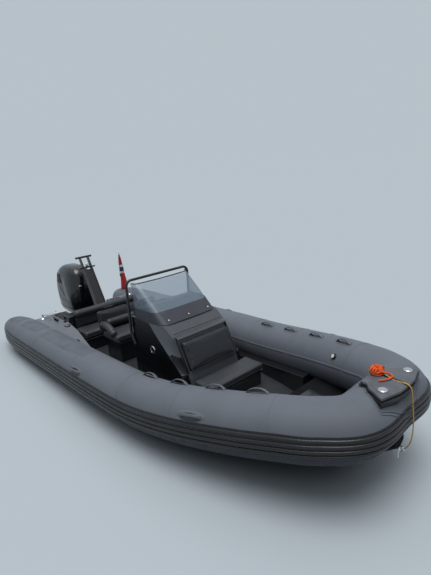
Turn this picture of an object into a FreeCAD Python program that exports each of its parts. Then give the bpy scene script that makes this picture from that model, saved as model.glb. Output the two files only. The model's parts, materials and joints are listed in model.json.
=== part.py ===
import FreeCAD, Part
import math
import os

from FreeCAD import Vector as V

os.makedirs("parts", exist_ok=True)

# Rigid inflatable boat with an outboard engine, in millimetres.
# +X is forward, +Y is port, +Z is up. The origin is at the waterline on the centreline, near mid-length.

# Clearances
SEAT = 0.3          # gap where a curved piece lies on another
RUNNING = 6.0       # gap beside a moving piece
SHAFT_GAP = 0.1     # gap round a pin or shaft in its hole

# Heights of the decks
HULL_TOP = 150.0
SOLE_THICK = 15.0
SOLE = HULL_TOP + SOLE_THICK
LEDGE = 240.0
FOREDECK = 380.0
STERN_DECK = 460.0

# Tube stations: x, y and z of the centre, radius. Aft to bow, port side.
TUBE_RADIUS = 250.0
TUBE_Y = 930.0
TAIL = [
    (-3080.0, TUBE_Y, 240.0, 70.0),
    (-2980.0, TUBE_Y, 239.0, 150.0),
    (-2700.0, TUBE_Y, 238.0, 215.0),
]
STRAIGHT = [
    (-2250.0, TUBE_Y, 246.0, TUBE_RADIUS),
    (-1000.0, TUBE_Y, 296.0, TUBE_RADIUS),
    (0.0, TUBE_Y, 345.0, TUBE_RADIUS),
]
FORE = [
    (600.0, 905.0, 375.0, TUBE_RADIUS),
    (1100.0, 838.0, 440.0, TUBE_RADIUS),
    (1600.0, 725.0, 528.0, 248.0),
    (1950.0, 618.0, 592.0, 244.0),
]
BOW = [
    (2205.0, 518.0, 636.0, 240.0),
    (2412.0, 340.0, 668.0, 234.0),
    (2424.0, 0.0, 672.0, 232.0),
]
STATIONS = TAIL + STRAIGHT + FORE + BOW
AFT_END = len(TAIL) + len(STRAIGHT)
FORE_END = AFT_END + len(FORE)

# Hull stations: x, keel z, chine y, chine z, rim y, top z
TRANSOM_X = -2380.0
HULL = [
    (TRANSOM_X, -390.0, 820.0, -70.0, 900.0, HULL_TOP),
    (-800.0, -370.0, 820.0, -40.0, 900.0, HULL_TOP),
    (400.0, -320.0, 800.0, 30.0, 890.0, HULL_TOP),
    (1000.0, -260.0, 720.0, 90.0, 830.0, HULL_TOP),
    (1420.0, -190.0, 620.0, 135.0, 740.0, HULL_TOP),
    (1500.0, -175.0, 600.0, 145.0, 720.0, FOREDECK),
    (2000.0, -50.0, 430.0, 240.0, 560.0, FOREDECK),
    (2120.0, 27.0, 366.0, 274.0, 504.0, FOREDECK),
    (2280.0, 130.0, 280.0, 320.0, 430.0, 430.0),
    (2480.0, 300.0, 130.0, 380.0, 250.0, 455.0),
    (2600.0, 400.0, 30.0, 412.0, 70.0, 480.0),
]

# Rub strakes: ribs on the outside of the tube, degrees above the widest line
STRAKE_LOW = -16.0
STRAKE_RIBS = 4
STRAKE_PITCH = 9.6
RIB_SHARE = 0.75    # a rib's width as a share of the pitch
STRAKE_RIB = 7.0
STRAKE_BASE = 6.0
STRAKE_START = len(TAIL) - 1

# Console, its screen and its rail
CONSOLE_HALF = 420.0
CONSOLE_FRONT_HALF = 365.0
CONSOLE_AFT_X = -330.0
CONSOLE_WALL = 12.0
SEAM_Z = 880.0
# Console sections: z, x where the side turns to the front, x of the front, half widths there
CONSOLE = [
    (SOLE, 600.0, 640.0, CONSOLE_HALF, 345.0),
    (430.0, 520.0, 545.0, CONSOLE_HALF, 350.0),
    (760.0, 130.0, 385.0, CONSOLE_HALF, CONSOLE_FRONT_HALF),
    (SEAM_Z, 0.0, 215.0, CONSOLE_HALF - 5.0, 380.0),
]
SCREEN_THICK = 6.0
SCREEN_TOP_X = -270.0
SCREEN_TOP_Z = 1262.0
SCREEN_TOP_HALF = 380.0
RAIL_RADIUS = 15.0
RAIL_X = -345.0
RAIL_TOP_Z = 1296.0
RAIL_FOOT_Z = 560.0

# Helm
WHEEL_X = -430.0
WHEEL_Y = -120.0
WHEEL_Z = 800.0
WHEEL_RADIUS = 165.0
WHEEL_RIM = 15.0

# Seats
FRONT_SEAT_AFT = 648.0
FRONT_SEAT_FRONT = 950.0
FRONT_SEAT_HALF = 400.0
FRONT_SEAT_TOP = 325.0
CUSHION = 90.0
HELM_HALF = 455.0
HELM_FRONT = -700.0
HELM_AFT = -1090.0
HELM_TOP = 430.0
HELM_BACK_TOP = 765.0
BENCH_HALF = 560.0
BENCH_FRONT = -1370.0
BENCH_AFT = -1780.0
BENCH_TOP = 330.0
BENCH_BACK_HALF = 510.0
BENCH_BACK_TOP = 640.0

# Motor well, mast and stern
WELL_HALF = 335.0
WELL_FRONT = TRANSOM_X + 420.0
TRANSOM_THICK = 60.0
TRANSOM_TOP = 225.0
MAST_HALF = 62.0
MAST_PLATE = 16.0
MAST_FOOT_X = -1900.0
MAST_TOP_X = -2255.0
MAST_TOP_Z = 1250.0
MAST_FOOT_Z = 560.0
TOW_BAR_RADIUS = 15.0
TOW_BAR_HALF = 125.0

# Outboard engine
TILT_X = TRANSOM_X - 25.0
TILT_Z = TRANSOM_TOP + 37.0
STEER_X = TILT_X - 75.0
COWL_X = STEER_X - 200.0
COWL_WALL = 8.0
PLATE_Z = TILT_Z - 634.0
PROP_Z = PLATE_Z - 193.0
PROP_X = STEER_X - 425.0
PROP_RADIUS = 178.0
HUB_RADIUS = 52.0

# Bow fittings
PAD_TOP = 952.0
PAD_UNDER = 912.0
GROOVE = 13.0
GROOVE_DEPTH = 18.0
LID_HINGE_X = 2085.0
LID_AFT_X = 1600.0
LID_HALF = 270.0
LID_THICK = 18.0


def save(node, *solids):
    """Write one node; solids that don't touch share it."""
    shape = solids[0] if len(solids) == 1 else Part.makeCompound(list(solids))
    shape.exportStep("parts/%s.step" % node)
    print(node, "solids", len(shape.Solids), "valid", shape.isValid(), "cm3", round(shape.Volume / 1000.0, 1))
    return shape


def box(x0, x1, y0, y1, z0, z1):
    return Part.makeBox(x1 - x0, y1 - y0, z1 - z0, V(x0, y0, z0))


def cylinder(start, end, radius):
    return Part.makeCylinder(radius, (end - start).Length, start, end - start)


def polygon(points):
    return Part.makePolygon(list(points) + [points[0]])


def prism(points, way):
    return Part.Face(polygon(points)).extrude(way)


def side_prism(points_xz, y0, y1):
    """A plate whose outline is given in x and z."""
    return prism([V(x, y0, z) for x, z in points_xz], V(0, y1 - y0, 0))


def plan_prism(points_xy, z0, z1):
    """A plate whose outline is given in x and y."""
    return prism([V(x, y, z0) for x, y in points_xy], V(0, 0, z1 - z0))


def ruled(wires):
    return Part.makeLoft(wires, True, True)


def mirrored(shape):
    return shape.mirror(V(0, 0, 0), V(0, 1, 0))


def softened(shape, radius, way):
    """Round the edges that run along one direction."""
    edges = []
    for edge in shape.Edges:
        if abs(abs(edge.tangentAt(edge.FirstParameter).dot(way)) - 1.0) < 1e-6:
            edges.append(edge)
    return shape.makeFillet(radius, edges)


def rounded_box(x0, x1, y0, y1, z0, z1, radius):
    solid = box(x0, x1, y0, y1, z0, z1)
    return solid.makeFillet(radius, solid.Edges)


# Path of a bent bar or a line: straight runs and the arcs between them
def bent_path(points, radius=None):
    """Without a radius each arc is as large as its two runs allow."""
    edges = []
    radii = []
    start = points[0]
    for before, corner, after in zip(points, points[1:], points[2:]):
        to_before = before - corner
        to_after = after - corner
        shorter = min(to_before.Length, to_after.Length)
        to_before.normalize()
        to_after.normalize()
        turn = math.pi - math.acos(to_before.dot(to_after))
        arc_radius = radius or 0.45 * shorter / math.tan(turn / 2.0)
        cut = arc_radius * math.tan(turn / 2.0)
        radii.append(round(arc_radius))
        middle = to_before + to_after
        middle.normalize()
        reach = arc_radius / math.cos(turn / 2.0) - arc_radius
        a = corner + to_before * cut
        b = corner + to_after * cut
        if (a - start).Length > 1e-6:
            edges.append(Part.LineSegment(start, a).toShape())
        edges.append(Part.Arc(a, corner + middle * reach, b).toShape())
        start = b
    edges.append(Part.LineSegment(start, points[-1]).toShape())
    return Part.Wire(edges), radii


def tube_along(points, bar_radius, bend=None):
    wire, radii = bent_path(points, bend)
    circle = Part.Wire(Part.makeCircle(bar_radius, points[0], points[1] - points[0]))
    return wire.makePipeShell([circle], True, False), wire, radii


# Inflatable tubes
def station_frame(index):
    """Centre, outward and up directions and radius of a station on the port side."""
    x, y, z, radius = STATIONS[index]
    ahead = STATIONS[min(index + 1, len(STATIONS) - 1)]
    behind = STATIONS[max(index - 1, 0)]
    along = V(ahead[0] - behind[0], ahead[1] - behind[1], ahead[2] - behind[2])
    if index == len(STATIONS) - 1:
        along = V(0, -1, 0)
    if index < len(TAIL) + 2:
        along = V(1, 0, 0)
    along.normalize()
    outward = V(-along.y, along.x, 0)
    outward.normalize()
    up = along.cross(outward)
    return V(x, y, z), outward, up, radius


def ring_point(index, degrees, extra=0.0):
    centre, outward, up, radius = station_frame(index)
    angle = math.radians(degrees)
    return centre + (outward * math.cos(angle) + up * math.sin(angle)) * (radius + extra)


def ring_wire(index, extra=0.0):
    centre, outward, up, radius = station_frame(index)
    along = outward.cross(up)
    circle = Part.Circle(FreeCAD.Vector(centre), along, radius + extra)
    circle.XAxis = outward
    return Part.Wire(circle.toShape())


def tube_length(first, last, extra=0.0):
    return ruled([ring_wire(i, extra) for i in range(first, last + 1)])


def bow_tube(extra=0.0):
    port = tube_length(FORE_END - 1, len(STATIONS) - 1, extra)
    return port.fuse(mirrored(port)).removeSplitter()


port_aft = tube_length(0, AFT_END - 1)
port_fore = tube_length(AFT_END - 1, FORE_END - 1)
save("tube_port_aft", port_aft)
save("tube_starboard_aft", mirrored(port_aft))
save("tube_port_fore", port_fore)
save("tube_starboard_fore", mirrored(port_fore))
save("tube_bow", bow_tube())

# The space that the tubes need, with their seat clearance
tube_space = [
    tube_length(0, AFT_END - 1, SEAT),
    tube_length(AFT_END - 1, FORE_END - 1, SEAT),
    bow_tube(SEAT),
]
tube_space += [mirrored(tube_space[0]), mirrored(tube_space[1])]


def beside_tubes(shape):
    """Cut a piece to lie against the tubes."""
    return shape.cut(tube_space)


# Rub strakes: one ribbed band, followed along the tube
BAND_STEPS = 6


def strake_section(index):
    half = STRAKE_PITCH * RIB_SHARE / 2.0
    high = STRAKE_LOW + 2.0 * half + (STRAKE_RIBS - 1) * STRAKE_PITCH
    points = []
    for step in range(BAND_STEPS + 1):
        degrees = high + (STRAKE_LOW - high) * step / BAND_STEPS
        points.append(ring_point(index, degrees, 3.0 * SEAT))
    for rib in range(STRAKE_RIBS):
        low_edge = STRAKE_LOW + rib * STRAKE_PITCH
        high_edge = low_edge + 2.0 * half
        points.append(ring_point(index, low_edge, STRAKE_BASE + STRAKE_RIB))
        points.append(ring_point(index, high_edge, STRAKE_BASE + STRAKE_RIB))
        if rib < STRAKE_RIBS - 1:
            valley = (STRAKE_PITCH - 2.0 * half) / 3.0
            points.append(ring_point(index, high_edge + valley, STRAKE_BASE))
            points.append(ring_point(index, high_edge + 2.0 * valley, STRAKE_BASE))
    return polygon(points)


port_strake = ruled([strake_section(i) for i in range(STRAKE_START, FORE_END)])
bow_strake = ruled([strake_section(i) for i in range(FORE_END - 1, len(STATIONS))])
save("rub_strake_port", port_strake)
save("rub_strake_starboard", mirrored(port_strake))
save("rub_strake_bow", bow_strake.fuse(mirrored(bow_strake)).removeSplitter())


# Hull with its foredeck and the pocket of the anchor locker
def hull_section(x, keel_z, chine_y, chine_z, rim_y, top_z):
    half = [V(x, chine_y, chine_z), V(x, rim_y, (chine_z + top_z) / 2.0), V(x, rim_y, top_z)]
    other = [V(p.x, -p.y, p.z) for p in reversed(half)]
    return polygon([V(x, 0, keel_z)] + half + other)


LOCKER_RIM = 25.0
LOCKER_FLOOR = 215.0
locker = box(LID_AFT_X + LOCKER_RIM, LID_HINGE_X - LOCKER_RIM, -LID_HALF + LOCKER_RIM, LID_HALF - LOCKER_RIM,
             LOCKER_FLOOR, FOREDECK + 1.0)
hull = ruled([hull_section(*row) for row in HULL])
hull = beside_tubes(hull).cut(locker)
save("hull", max(hull.Solids, key=lambda solid: solid.Volume))

# Sole between the liners, and the liners' ledges along the tubes
LINER_WIDTH = 90.0
LINER_AFT = -1100.0
LINER_FRONT = 1415.0
LEDGE_TUBE_Z = 345.0    # the ledge rises with the tube from this height of its centre


def tube_at(x):
    """Centre y, centre z and radius of the tube at a place along the boat."""
    for a, b in zip(STATIONS, STATIONS[1:]):
        if a[0] <= x <= b[0]:
            share = (x - a[0]) / (b[0] - a[0])
            return [a[k] + (b[k] - a[k]) * share for k in (1, 2, 3)]
    return STATIONS[-1][1:]


def liner_inner(x):
    y, z, radius = tube_at(x)
    return y - radius - LINER_WIDTH


liner_x = [LINER_AFT, 0.0, 600.0, 1100.0, LINER_FRONT]


def liner_section(x):
    inner = liner_inner(x)
    outer = tube_at(x)[0] - 40.0
    top = LEDGE + max(0.0, tube_at(x)[1] - LEDGE_TUBE_Z)
    points = [(inner, HULL_TOP), (inner, top), (outer, top), (outer, HULL_TOP)]
    return polygon([V(x, y, z) for y, z in points])


liner = beside_tubes(ruled([liner_section(x) for x in liner_x]))
liner = max(liner.Solids, key=lambda solid: solid.Volume)
save("liner_port", liner)
save("liner_starboard", mirrored(liner))

sole_outline = [(WELL_FRONT, 0.0), (WELL_FRONT, BENCH_HALF), (LINER_AFT, BENCH_HALF)]
sole_outline += [(x, liner_inner(x)) for x in liner_x]
sole_outline += [(x, -y) for x, y in reversed(sole_outline[1:])]
save("sole", plan_prism(sole_outline, HULL_TOP, SOLE))

# Stern: side decks with their wings beside the seats, transom and towing eyes
WING_Y = BENCH_HALF + 15.0
WING_TIP = LINER_AFT - 5.0
deck = box(TRANSOM_X, WELL_FRONT + 90.0, WELL_HALF + 5.0, TUBE_Y, HULL_TOP, STERN_DECK)
wing_outline = [(WELL_FRONT + 90.0, HULL_TOP), (WELL_FRONT + 90.0, STERN_DECK), (BENCH_AFT, STERN_DECK + 45.0),
                (-1500.0, 450.0), (-1290.0, 350.0), (WING_TIP, 270.0), (WING_TIP, HULL_TOP)]
wing = side_prism(wing_outline, WING_Y, TUBE_Y)
deck = deck.cut(box(WELL_FRONT, WELL_FRONT + 91.0, WELL_HALF, WING_Y, HULL_TOP - 1.0, STERN_DECK + 1.0))
stern = beside_tubes(deck.fuse(wing))
stern = max(stern.Solids, key=lambda solid: solid.Volume).removeSplitter()
save("stern_deck_port", stern)
save("stern_deck_starboard", mirrored(stern))

transom = box(TRANSOM_X, TRANSOM_X + TRANSOM_THICK, -WELL_HALF, WELL_HALF, HULL_TOP, TRANSOM_TOP)
save("transom", transom)


# Towing eyes: a ring with a round hole across the boat, on a plate
EYE_RADIUS = 16.0
EYE_WALL = 9.0
EYE_LENGTH = 14.0
EYE_PLATE = 6.0
STERN_EYE_Y = 480.0
STERN_EYE_Z = -40.0


def eye(x, y, z):
    """A ring whose hole runs along y, centred at a point."""
    start = V(x, y - EYE_LENGTH / 2.0, z)
    end = V(x, y + EYE_LENGTH / 2.0, z)
    return cylinder(start, end, EYE_RADIUS + EYE_WALL).cut(cylinder(start, end, EYE_RADIUS))


eyes = []
for side in (-1.0, 1.0):
    y = side * STERN_EYE_Y
    ring = eye(TRANSOM_X - EYE_PLATE - EYE_RADIUS - EYE_WALL + 1.0, y, STERN_EYE_Z)
    plate = box(TRANSOM_X - EYE_PLATE, TRANSOM_X, y - 22.0, y + 22.0, STERN_EYE_Z - 36.0, STERN_EYE_Z + 36.0)
    eyes.append(ring.fuse(plate).removeSplitter())
save("stern_eyes", *eyes)

CLEAT_X = TRANSOM_X + 296.0
CLEAT_Y = 620.0


def cleat(x, y, z):
    """Two feet and a horn along the boat."""
    feet = box(x - 40.0, x + 40.0, y - 14.0, y + 14.0, z, z + 24.0)
    feet = feet.cut(box(x - 22.0, x + 22.0, y - 15.0, y + 15.0, z + 6.0, z + 25.0))
    horn = cylinder(V(x - 85.0, y, z + 30.0), V(x + 85.0, y, z + 30.0), 9.0)
    return feet.fuse(horn).removeSplitter()


save("stern_cleats", *[cleat(CLEAT_X, side * CLEAT_Y, STERN_DECK) for side in (-1.0, 1.0)])
FILLER_X = BENCH_AFT + 90.0
FILLER_Y = WING_Y + 55.0
FILLER_RADIUS = 42.0
FILLER_TOP = STERN_DECK + 44.0
fillers = []
for side in (-1.0, 1.0):
    foot = V(FILLER_X, side * FILLER_Y, STERN_DECK)
    filler = cylinder(foot, V(foot.x, foot.y, FILLER_TOP), FILLER_RADIUS)
    fillers.append(filler.cut([stern, mirrored(stern)]))
save("deck_fillers", *fillers)

# Boarding ladder on the starboard stern deck, swinging aft about its hinge bar
LADDER_X = TRANSOM_X - 18.0
LADDER_Y = -590.0
LADDER_HALF = 75.0
LADDER_REACH = 255.0
LADDER_BAR = 10.0
LADDER_PIN = 8.0
LADDER_Z = STERN_DECK + 22.0
ladder_feet = []
for side in (-1.0, 1.0):
    y = LADDER_Y + side * (LADDER_HALF + 22.0)
    foot = box(LADDER_X - 14.0, TRANSOM_X, y - 8.0, y + 8.0, STERN_DECK - 45.0, LADDER_Z + 14.0)
    hole = cylinder(V(LADDER_X, y - 9.0, LADDER_Z), V(LADDER_X, y + 9.0, LADDER_Z), LADDER_PIN + SHAFT_GAP)
    ladder_feet.append(foot.cut(hole))
save("ladder_feet", *ladder_feet)
hinge_bar = cylinder(V(LADDER_X, LADDER_Y - LADDER_HALF - 28.0, LADDER_Z),
                     V(LADDER_X, LADDER_Y + LADDER_HALF + 28.0, LADDER_Z), LADDER_PIN)
ladder = hinge_bar
LADDER_RISE = 60.0
RAIL_BAR = 8.0
for side in (-1.0, 1.0):
    y = LADDER_Y + side * LADDER_HALF
    low_end = V(LADDER_X, y, LADDER_Z)
    ladder = ladder.fuse(cylinder(low_end, low_end + V(LADDER_REACH, 0, LADDER_RISE), RAIL_BAR))
for share in (0.5, 1.0):
    x = LADDER_X + share * LADDER_REACH
    z = LADDER_Z + share * LADDER_RISE
    ladder = ladder.fuse(cylinder(V(x, LADDER_Y - LADDER_HALF - 6.0, z), V(x, LADDER_Y + LADDER_HALF + 6.0, z),
                                  LADDER_BAR))
save("boarding_ladder", ladder)

# Aft bench: box, seat cushion, back box and long back cushion
bench = box(BENCH_AFT, BENCH_FRONT, -BENCH_HALF, BENCH_HALF, SOLE, BENCH_TOP)
bench = bench.fuse(box(WELL_FRONT, BENCH_AFT, -BENCH_HALF, BENCH_HALF, SOLE, MAST_FOOT_Z)).removeSplitter()
save("bench_box", bench)
save("bench_cushion", rounded_box(BENCH_AFT + 70.0, BENCH_FRONT + 10.0, -BENCH_HALF + 8.0, BENCH_HALF - 8.0,
                                  BENCH_TOP, BENCH_TOP + CUSHION, 22.0))
save("bench_back", rounded_box(BENCH_AFT, BENCH_AFT + 68.0, -BENCH_BACK_HALF, BENCH_BACK_HALF,
                               BENCH_TOP + 30.0, BENCH_BACK_TOP, 24.0))

# Helm seat for two, on a box, with its back and its side bolsters
HELM_BACK = 80.0
helm_box = box(HELM_AFT + 20.0, HELM_FRONT - 20.0, -HELM_HALF + 60.0, HELM_HALF - 60.0, SOLE, HELM_TOP)
save("helm_seat_cushion", rounded_box(HELM_AFT + 2.0, HELM_FRONT, -HELM_HALF, HELM_HALF, HELM_TOP,
                                      HELM_TOP + CUSHION, 25.0))
back = [(HELM_AFT, HELM_TOP + 20.0), (HELM_AFT, HELM_TOP + CUSHION + 30.0), (HELM_AFT - 35.0, HELM_BACK_TOP),
        (HELM_AFT - HELM_BACK - 20.0, HELM_BACK_TOP), (HELM_AFT - HELM_BACK, HELM_TOP + 20.0)]
save("helm_backrest", softened(side_prism(back, -HELM_HALF, HELM_HALF), 20.0, V(0, 1, 0)))
for side in (-1.0, 1.0):
    y = side * (HELM_HALF - 130.0)
    post = box(HELM_AFT - HELM_BACK + 10.0, HELM_AFT - 10.0, y - 20.0, y + 20.0, HELM_TOP - 60.0, HELM_TOP + 20.0 - SEAT)
    arm = box(HELM_AFT - HELM_BACK + 10.0, HELM_AFT + 20.0, y - 20.0, y + 20.0, HELM_TOP - 90.0, HELM_TOP - 50.0)
    helm_box = helm_box.fuse(post).fuse(arm)
save("helm_seat_box", helm_box.removeSplitter())

# Console: a moulded shell, open below
def console_section(row, inset=0.0):
    z, turn_x, front_x, half, front_half = row
    half -= inset
    front_half -= inset
    points = [(CONSOLE_AFT_X + inset, half), (turn_x - inset, half), (front_x - inset, front_half)]
    points += [(x, -y) for x, y in reversed(points)]
    return polygon([V(x, y, z) for x, y in points])


# Dash: the slope behind the screen, below its glass
DASH_Z = 1010.0
console = ruled([console_section(row) for row in CONSOLE])
dash = side_prism([(-300.0, SEAM_Z), (-225.0, DASH_Z), (-120.0, DASH_Z), (120.0, SEAM_Z)],
                  -CONSOLE_HALF + 60.0, CONSOLE_HALF - 60.0)
hollow = ruled([console_section(row, CONSOLE_WALL) for row in CONSOLE])
hollow = hollow.common(box(-1000.0, 1000.0, -600.0, 600.0, 0.0, SEAM_Z - CONSOLE_WALL))
save("console", console.cut(hollow))
save("dash", dash)

# Windscreen: a raked front pane and two side panes
BASE_FRONT = V(215.0, 380.0, SEAM_Z)
BASE_AFT = V(-260.0, CONSOLE_HALF - 12.0, SEAM_Z)
TOP_FRONT = V(SCREEN_TOP_X, SCREEN_TOP_HALF, SCREEN_TOP_Z)
TOP_AFT = V(SCREEN_TOP_X - 40.0, CONSOLE_HALF - 25.0, SCREEN_TOP_Z - 12.0)


def other(point):
    return V(point.x, -point.y, point.z)


front_pane = prism([BASE_FRONT, TOP_FRONT, other(TOP_FRONT), other(BASE_FRONT)], V(-SCREEN_THICK, 0, 0))
side_pane = prism([BASE_FRONT, TOP_FRONT, BASE_AFT], V(0, -SCREEN_THICK, 0))
screen = front_pane.fuse(side_pane).fuse(mirrored(side_pane)).removeSplitter()
screen = screen.cut(dash)
save("windscreen", max(screen.Solids, key=lambda solid: solid.Volume))

# Rail over the screen
rail_y = CONSOLE_HALF + RAIL_RADIUS + 3.0
rail_points = [V(RAIL_X + 60.0, rail_y, RAIL_FOOT_Z), V(RAIL_X, rail_y, RAIL_FOOT_Z + 120.0),
               V(RAIL_X, rail_y, RAIL_TOP_Z), V(RAIL_X, -rail_y, RAIL_TOP_Z),
               V(RAIL_X, -rail_y, RAIL_FOOT_Z + 120.0), V(RAIL_X + 60.0, -rail_y, RAIL_FOOT_Z)]
RAIL_BEND = 70.0
feet = tube_along(rail_points, RAIL_RADIUS, RAIL_BEND)[0]
for side in (-1.0, 1.0):
    for z, x in ((RAIL_FOOT_Z + 6.0, RAIL_X + 57.0), (SEAM_Z - 90.0, RAIL_X + 25.0)):
        y0 = side * CONSOLE_HALF
        y1 = side * rail_y
        feet = feet.fuse(box(x - 18.0, x + 18.0, min(y0, y1), max(y0, y1), z - 14.0, z + 14.0))
save("screen_rail", feet.removeSplitter())


# Steering wheel on its shaft; the shaft leaves the console's aft wall
wheel_centre = V(WHEEL_X, WHEEL_Y, WHEEL_Z)
rim = Part.makeTorus(WHEEL_RADIUS, WHEEL_RIM, wheel_centre, V(1, 0, 0))
hub = cylinder(wheel_centre - V(8, 0, 0), wheel_centre + V(30, 0, 0), 38.0)
wheel = rim.fuse(hub)
for spoke in range(3):
    angle = math.radians(90.0 + 120.0 * spoke)
    end = wheel_centre + V(0, math.cos(angle), math.sin(angle)) * WHEEL_RADIUS
    wheel = wheel.fuse(cylinder(wheel_centre + V(8, 0, 0), end, 9.0))
save("steering_wheel", wheel.removeSplitter())
boss = cylinder(wheel_centre + V(30.3, 0, 0), V(CONSOLE_AFT_X, WHEEL_Y, WHEEL_Z), 30.0)
save("helm_boss", boss)
THROTTLE_Y = -350.0
throttle = box(CONSOLE_AFT_X - 70.0, CONSOLE_AFT_X, THROTTLE_Y - 45.0, THROTTLE_Y + 45.0, 770.0, 860.0)
throttle = throttle.fuse(cylinder(V(CONSOLE_AFT_X - 35.0, THROTTLE_Y, 855.0), V(CONSOLE_AFT_X - 60.0, THROTTLE_Y, 960.0), 10.0))
save("throttle", throttle.removeSplitter())

# Cushion on the console's front face
def on_front(z):
    """x of the console's front face between its two middle sections."""
    low = CONSOLE[1]
    high = CONSOLE[2]
    return low[2] + (high[2] - low[2]) * (z - low[0]) / (high[0] - low[0])


BACK_LOW = 445.0
BACK_HIGH = 752.0
BACK_THICK = 55.0
pad = side_prism([(on_front(BACK_LOW) + SEAT, BACK_LOW), (on_front(BACK_HIGH) + SEAT, BACK_HIGH),
                  (on_front(BACK_HIGH) + BACK_THICK, BACK_HIGH), (on_front(BACK_LOW) + BACK_THICK, BACK_LOW)],
                 -335.0, 335.0)
save("console_backrest", pad)

# Front seat: an open box, and a hinged lid that carries the cushion
SEAT_WALL = 15.0
seat_outer = box(FRONT_SEAT_AFT, FRONT_SEAT_FRONT - 40.0, -FRONT_SEAT_HALF + 40.0, FRONT_SEAT_HALF - 40.0, SOLE,
                 FRONT_SEAT_TOP - 20.0)
seat_inner = box(FRONT_SEAT_AFT + SEAT_WALL, FRONT_SEAT_FRONT - 40.0 - SEAT_WALL, -FRONT_SEAT_HALF + 40.0 + SEAT_WALL,
                 FRONT_SEAT_HALF - 40.0 - SEAT_WALL, SOLE + SEAT_WALL, FRONT_SEAT_TOP)
SEAT_PIN = 4.5
SEAT_PIN_X = FRONT_SEAT_FRONT - 40.0 + SEAT_PIN
SEAT_PIN_Z = FRONT_SEAT_TOP - 25.0
seat_hinge = cylinder(V(SEAT_PIN_X, -150.0, SEAT_PIN_Z), V(SEAT_PIN_X, 150.0, SEAT_PIN_Z), SEAT_PIN)
save("front_seat_box", seat_outer.cut(seat_inner).fuse(seat_hinge).removeSplitter())
LID_GAP = SEAT
seat_lid = box(FRONT_SEAT_AFT + 2.0, FRONT_SEAT_FRONT - 34.0, -FRONT_SEAT_HALF + 10.0, FRONT_SEAT_HALF - 10.0,
               FRONT_SEAT_TOP - 20.0 + LID_GAP, FRONT_SEAT_TOP)
save("front_seat_lid", seat_lid)
save("front_seat_cushion", rounded_box(FRONT_SEAT_AFT + 2.0, FRONT_SEAT_FRONT, -FRONT_SEAT_HALF, FRONT_SEAT_HALF,
                                       FRONT_SEAT_TOP, FRONT_SEAT_TOP + CUSHION, 22.0))

# Anchor locker lid with its latch
lid = box(LID_AFT_X, LID_HINGE_X - 7.3, -LID_HALF, LID_HALF, FOREDECK + LID_GAP, FOREDECK + LID_GAP + LID_THICK)
latch_z = FOREDECK + LID_GAP + LID_THICK
latch = box(LID_AFT_X + 10.0, LID_AFT_X + 60.0, -22.0, 22.0, latch_z, latch_z + 8.0)
save("locker_lid", lid.fuse(latch).removeSplitter())
HINGE_HALF = 120.0
HINGE_Z = FOREDECK + 12.0
HINGE_PIN = 7.0
hinge = cylinder(V(LID_HINGE_X, -HINGE_HALF, HINGE_Z), V(LID_HINGE_X, HINGE_HALF, HINGE_Z), HINGE_PIN)
leaf = box(LID_HINGE_X - 5.0, LID_HINGE_X + 30.0, -HINGE_HALF, HINGE_HALF, FOREDECK, FOREDECK + HINGE_PIN)
save("locker_hinge", hinge.fuse(leaf).removeSplitter())

# Bow step pad on its raised base
pad_half = [(2345.0, 150.0), (2400.0, 160.0), (2440.0, 210.0), (2580.0, 290.0), (2628.0, 120.0), (2634.0, 0.0)]


def pad_outline(grow, z):
    """The pad's outline, moved out from its middle."""
    points = []
    middle = 2430.0
    for x, y in pad_half:
        reach = math.hypot(x - middle, y)
        points.append((x + grow * (x - middle) / reach, y + grow * y / reach))
    points += [(x, -y) for x, y in reversed(points[:-1])]
    return polygon([V(x, y, z) for x, y in points])


PAD_SLOPE = 22.0    # the pad's top is smaller by this all round
BASE_LIP = 16.0     # the base stands out under the pad
BASE_IN = 60.0      # and narrows down to the tube
BASE_LOW_Z = 760.0
base = ruled([pad_outline(-BASE_IN, BASE_LOW_Z), pad_outline(BASE_LIP, PAD_UNDER)])
base = beside_tubes(base)
base = max(base.Solids, key=lambda solid: solid.BoundBox.ZMax)
save("bow_pad_base", base)
groove = box(2150.0, 2700.0, -GROOVE, GROOVE, PAD_TOP - GROOVE_DEPTH, PAD_TOP + 5.0)
bow_pad = ruled([pad_outline(0.0, PAD_UNDER), pad_outline(-PAD_SLOPE, PAD_TOP)]).cut(groove)
save("bow_pad", bow_pad)
bow_cleats = []
for side in (-1.0, 1.0):
    centre = V(2540.0, side * 195.0, PAD_TOP)
    bow_cleats.append(Part.makeCylinder(30.0, 8.0, centre, V(0, 0, 1)))
save("bow_cleats", *bow_cleats)

# Bow eye under the bow tube, on the stem
BOW_EYE_X = 2618.0
BOW_EYE_Z = 400.0
stem_plate = box(2560.0, BOW_EYE_X - EYE_RADIUS - 2.0, -EYE_LENGTH / 2.0, EYE_LENGTH / 2.0, 310.0, BOW_EYE_Z + 14.0)
save("bow_eye", eye(BOW_EYE_X, 0.0, BOW_EYE_Z).fuse(stem_plate).cut(hull).removeSplitter())


# Grab handles: a low arch on a foot plate, set on the tube's skin
def skin_frame(x, degrees):
    """A point on the port tube's skin, its outward normal and the tube's direction."""
    y, z, radius = tube_at(x)
    step = 60.0
    a = tube_at(x - step)
    b = tube_at(x + step)
    along = V(2.0 * step, b[0] - a[0], b[1] - a[1])
    along.normalize()
    outward = V(-along.y, along.x, 0)
    outward.normalize()
    up = outward.cross(along)
    if up.z < 0:
        up = up * -1.0
    angle = math.radians(degrees)
    normal = outward * math.cos(angle) + up * math.sin(angle)
    return V(x, y, z) + normal * radius, normal, along


HANDLE_LENGTH = 190.0
HANDLE_HEIGHT = 42.0
HANDLE_WIDTH = 34.0
HANDLE_BAR = 14.0
HANDLE_SINK = 12.0


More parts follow.
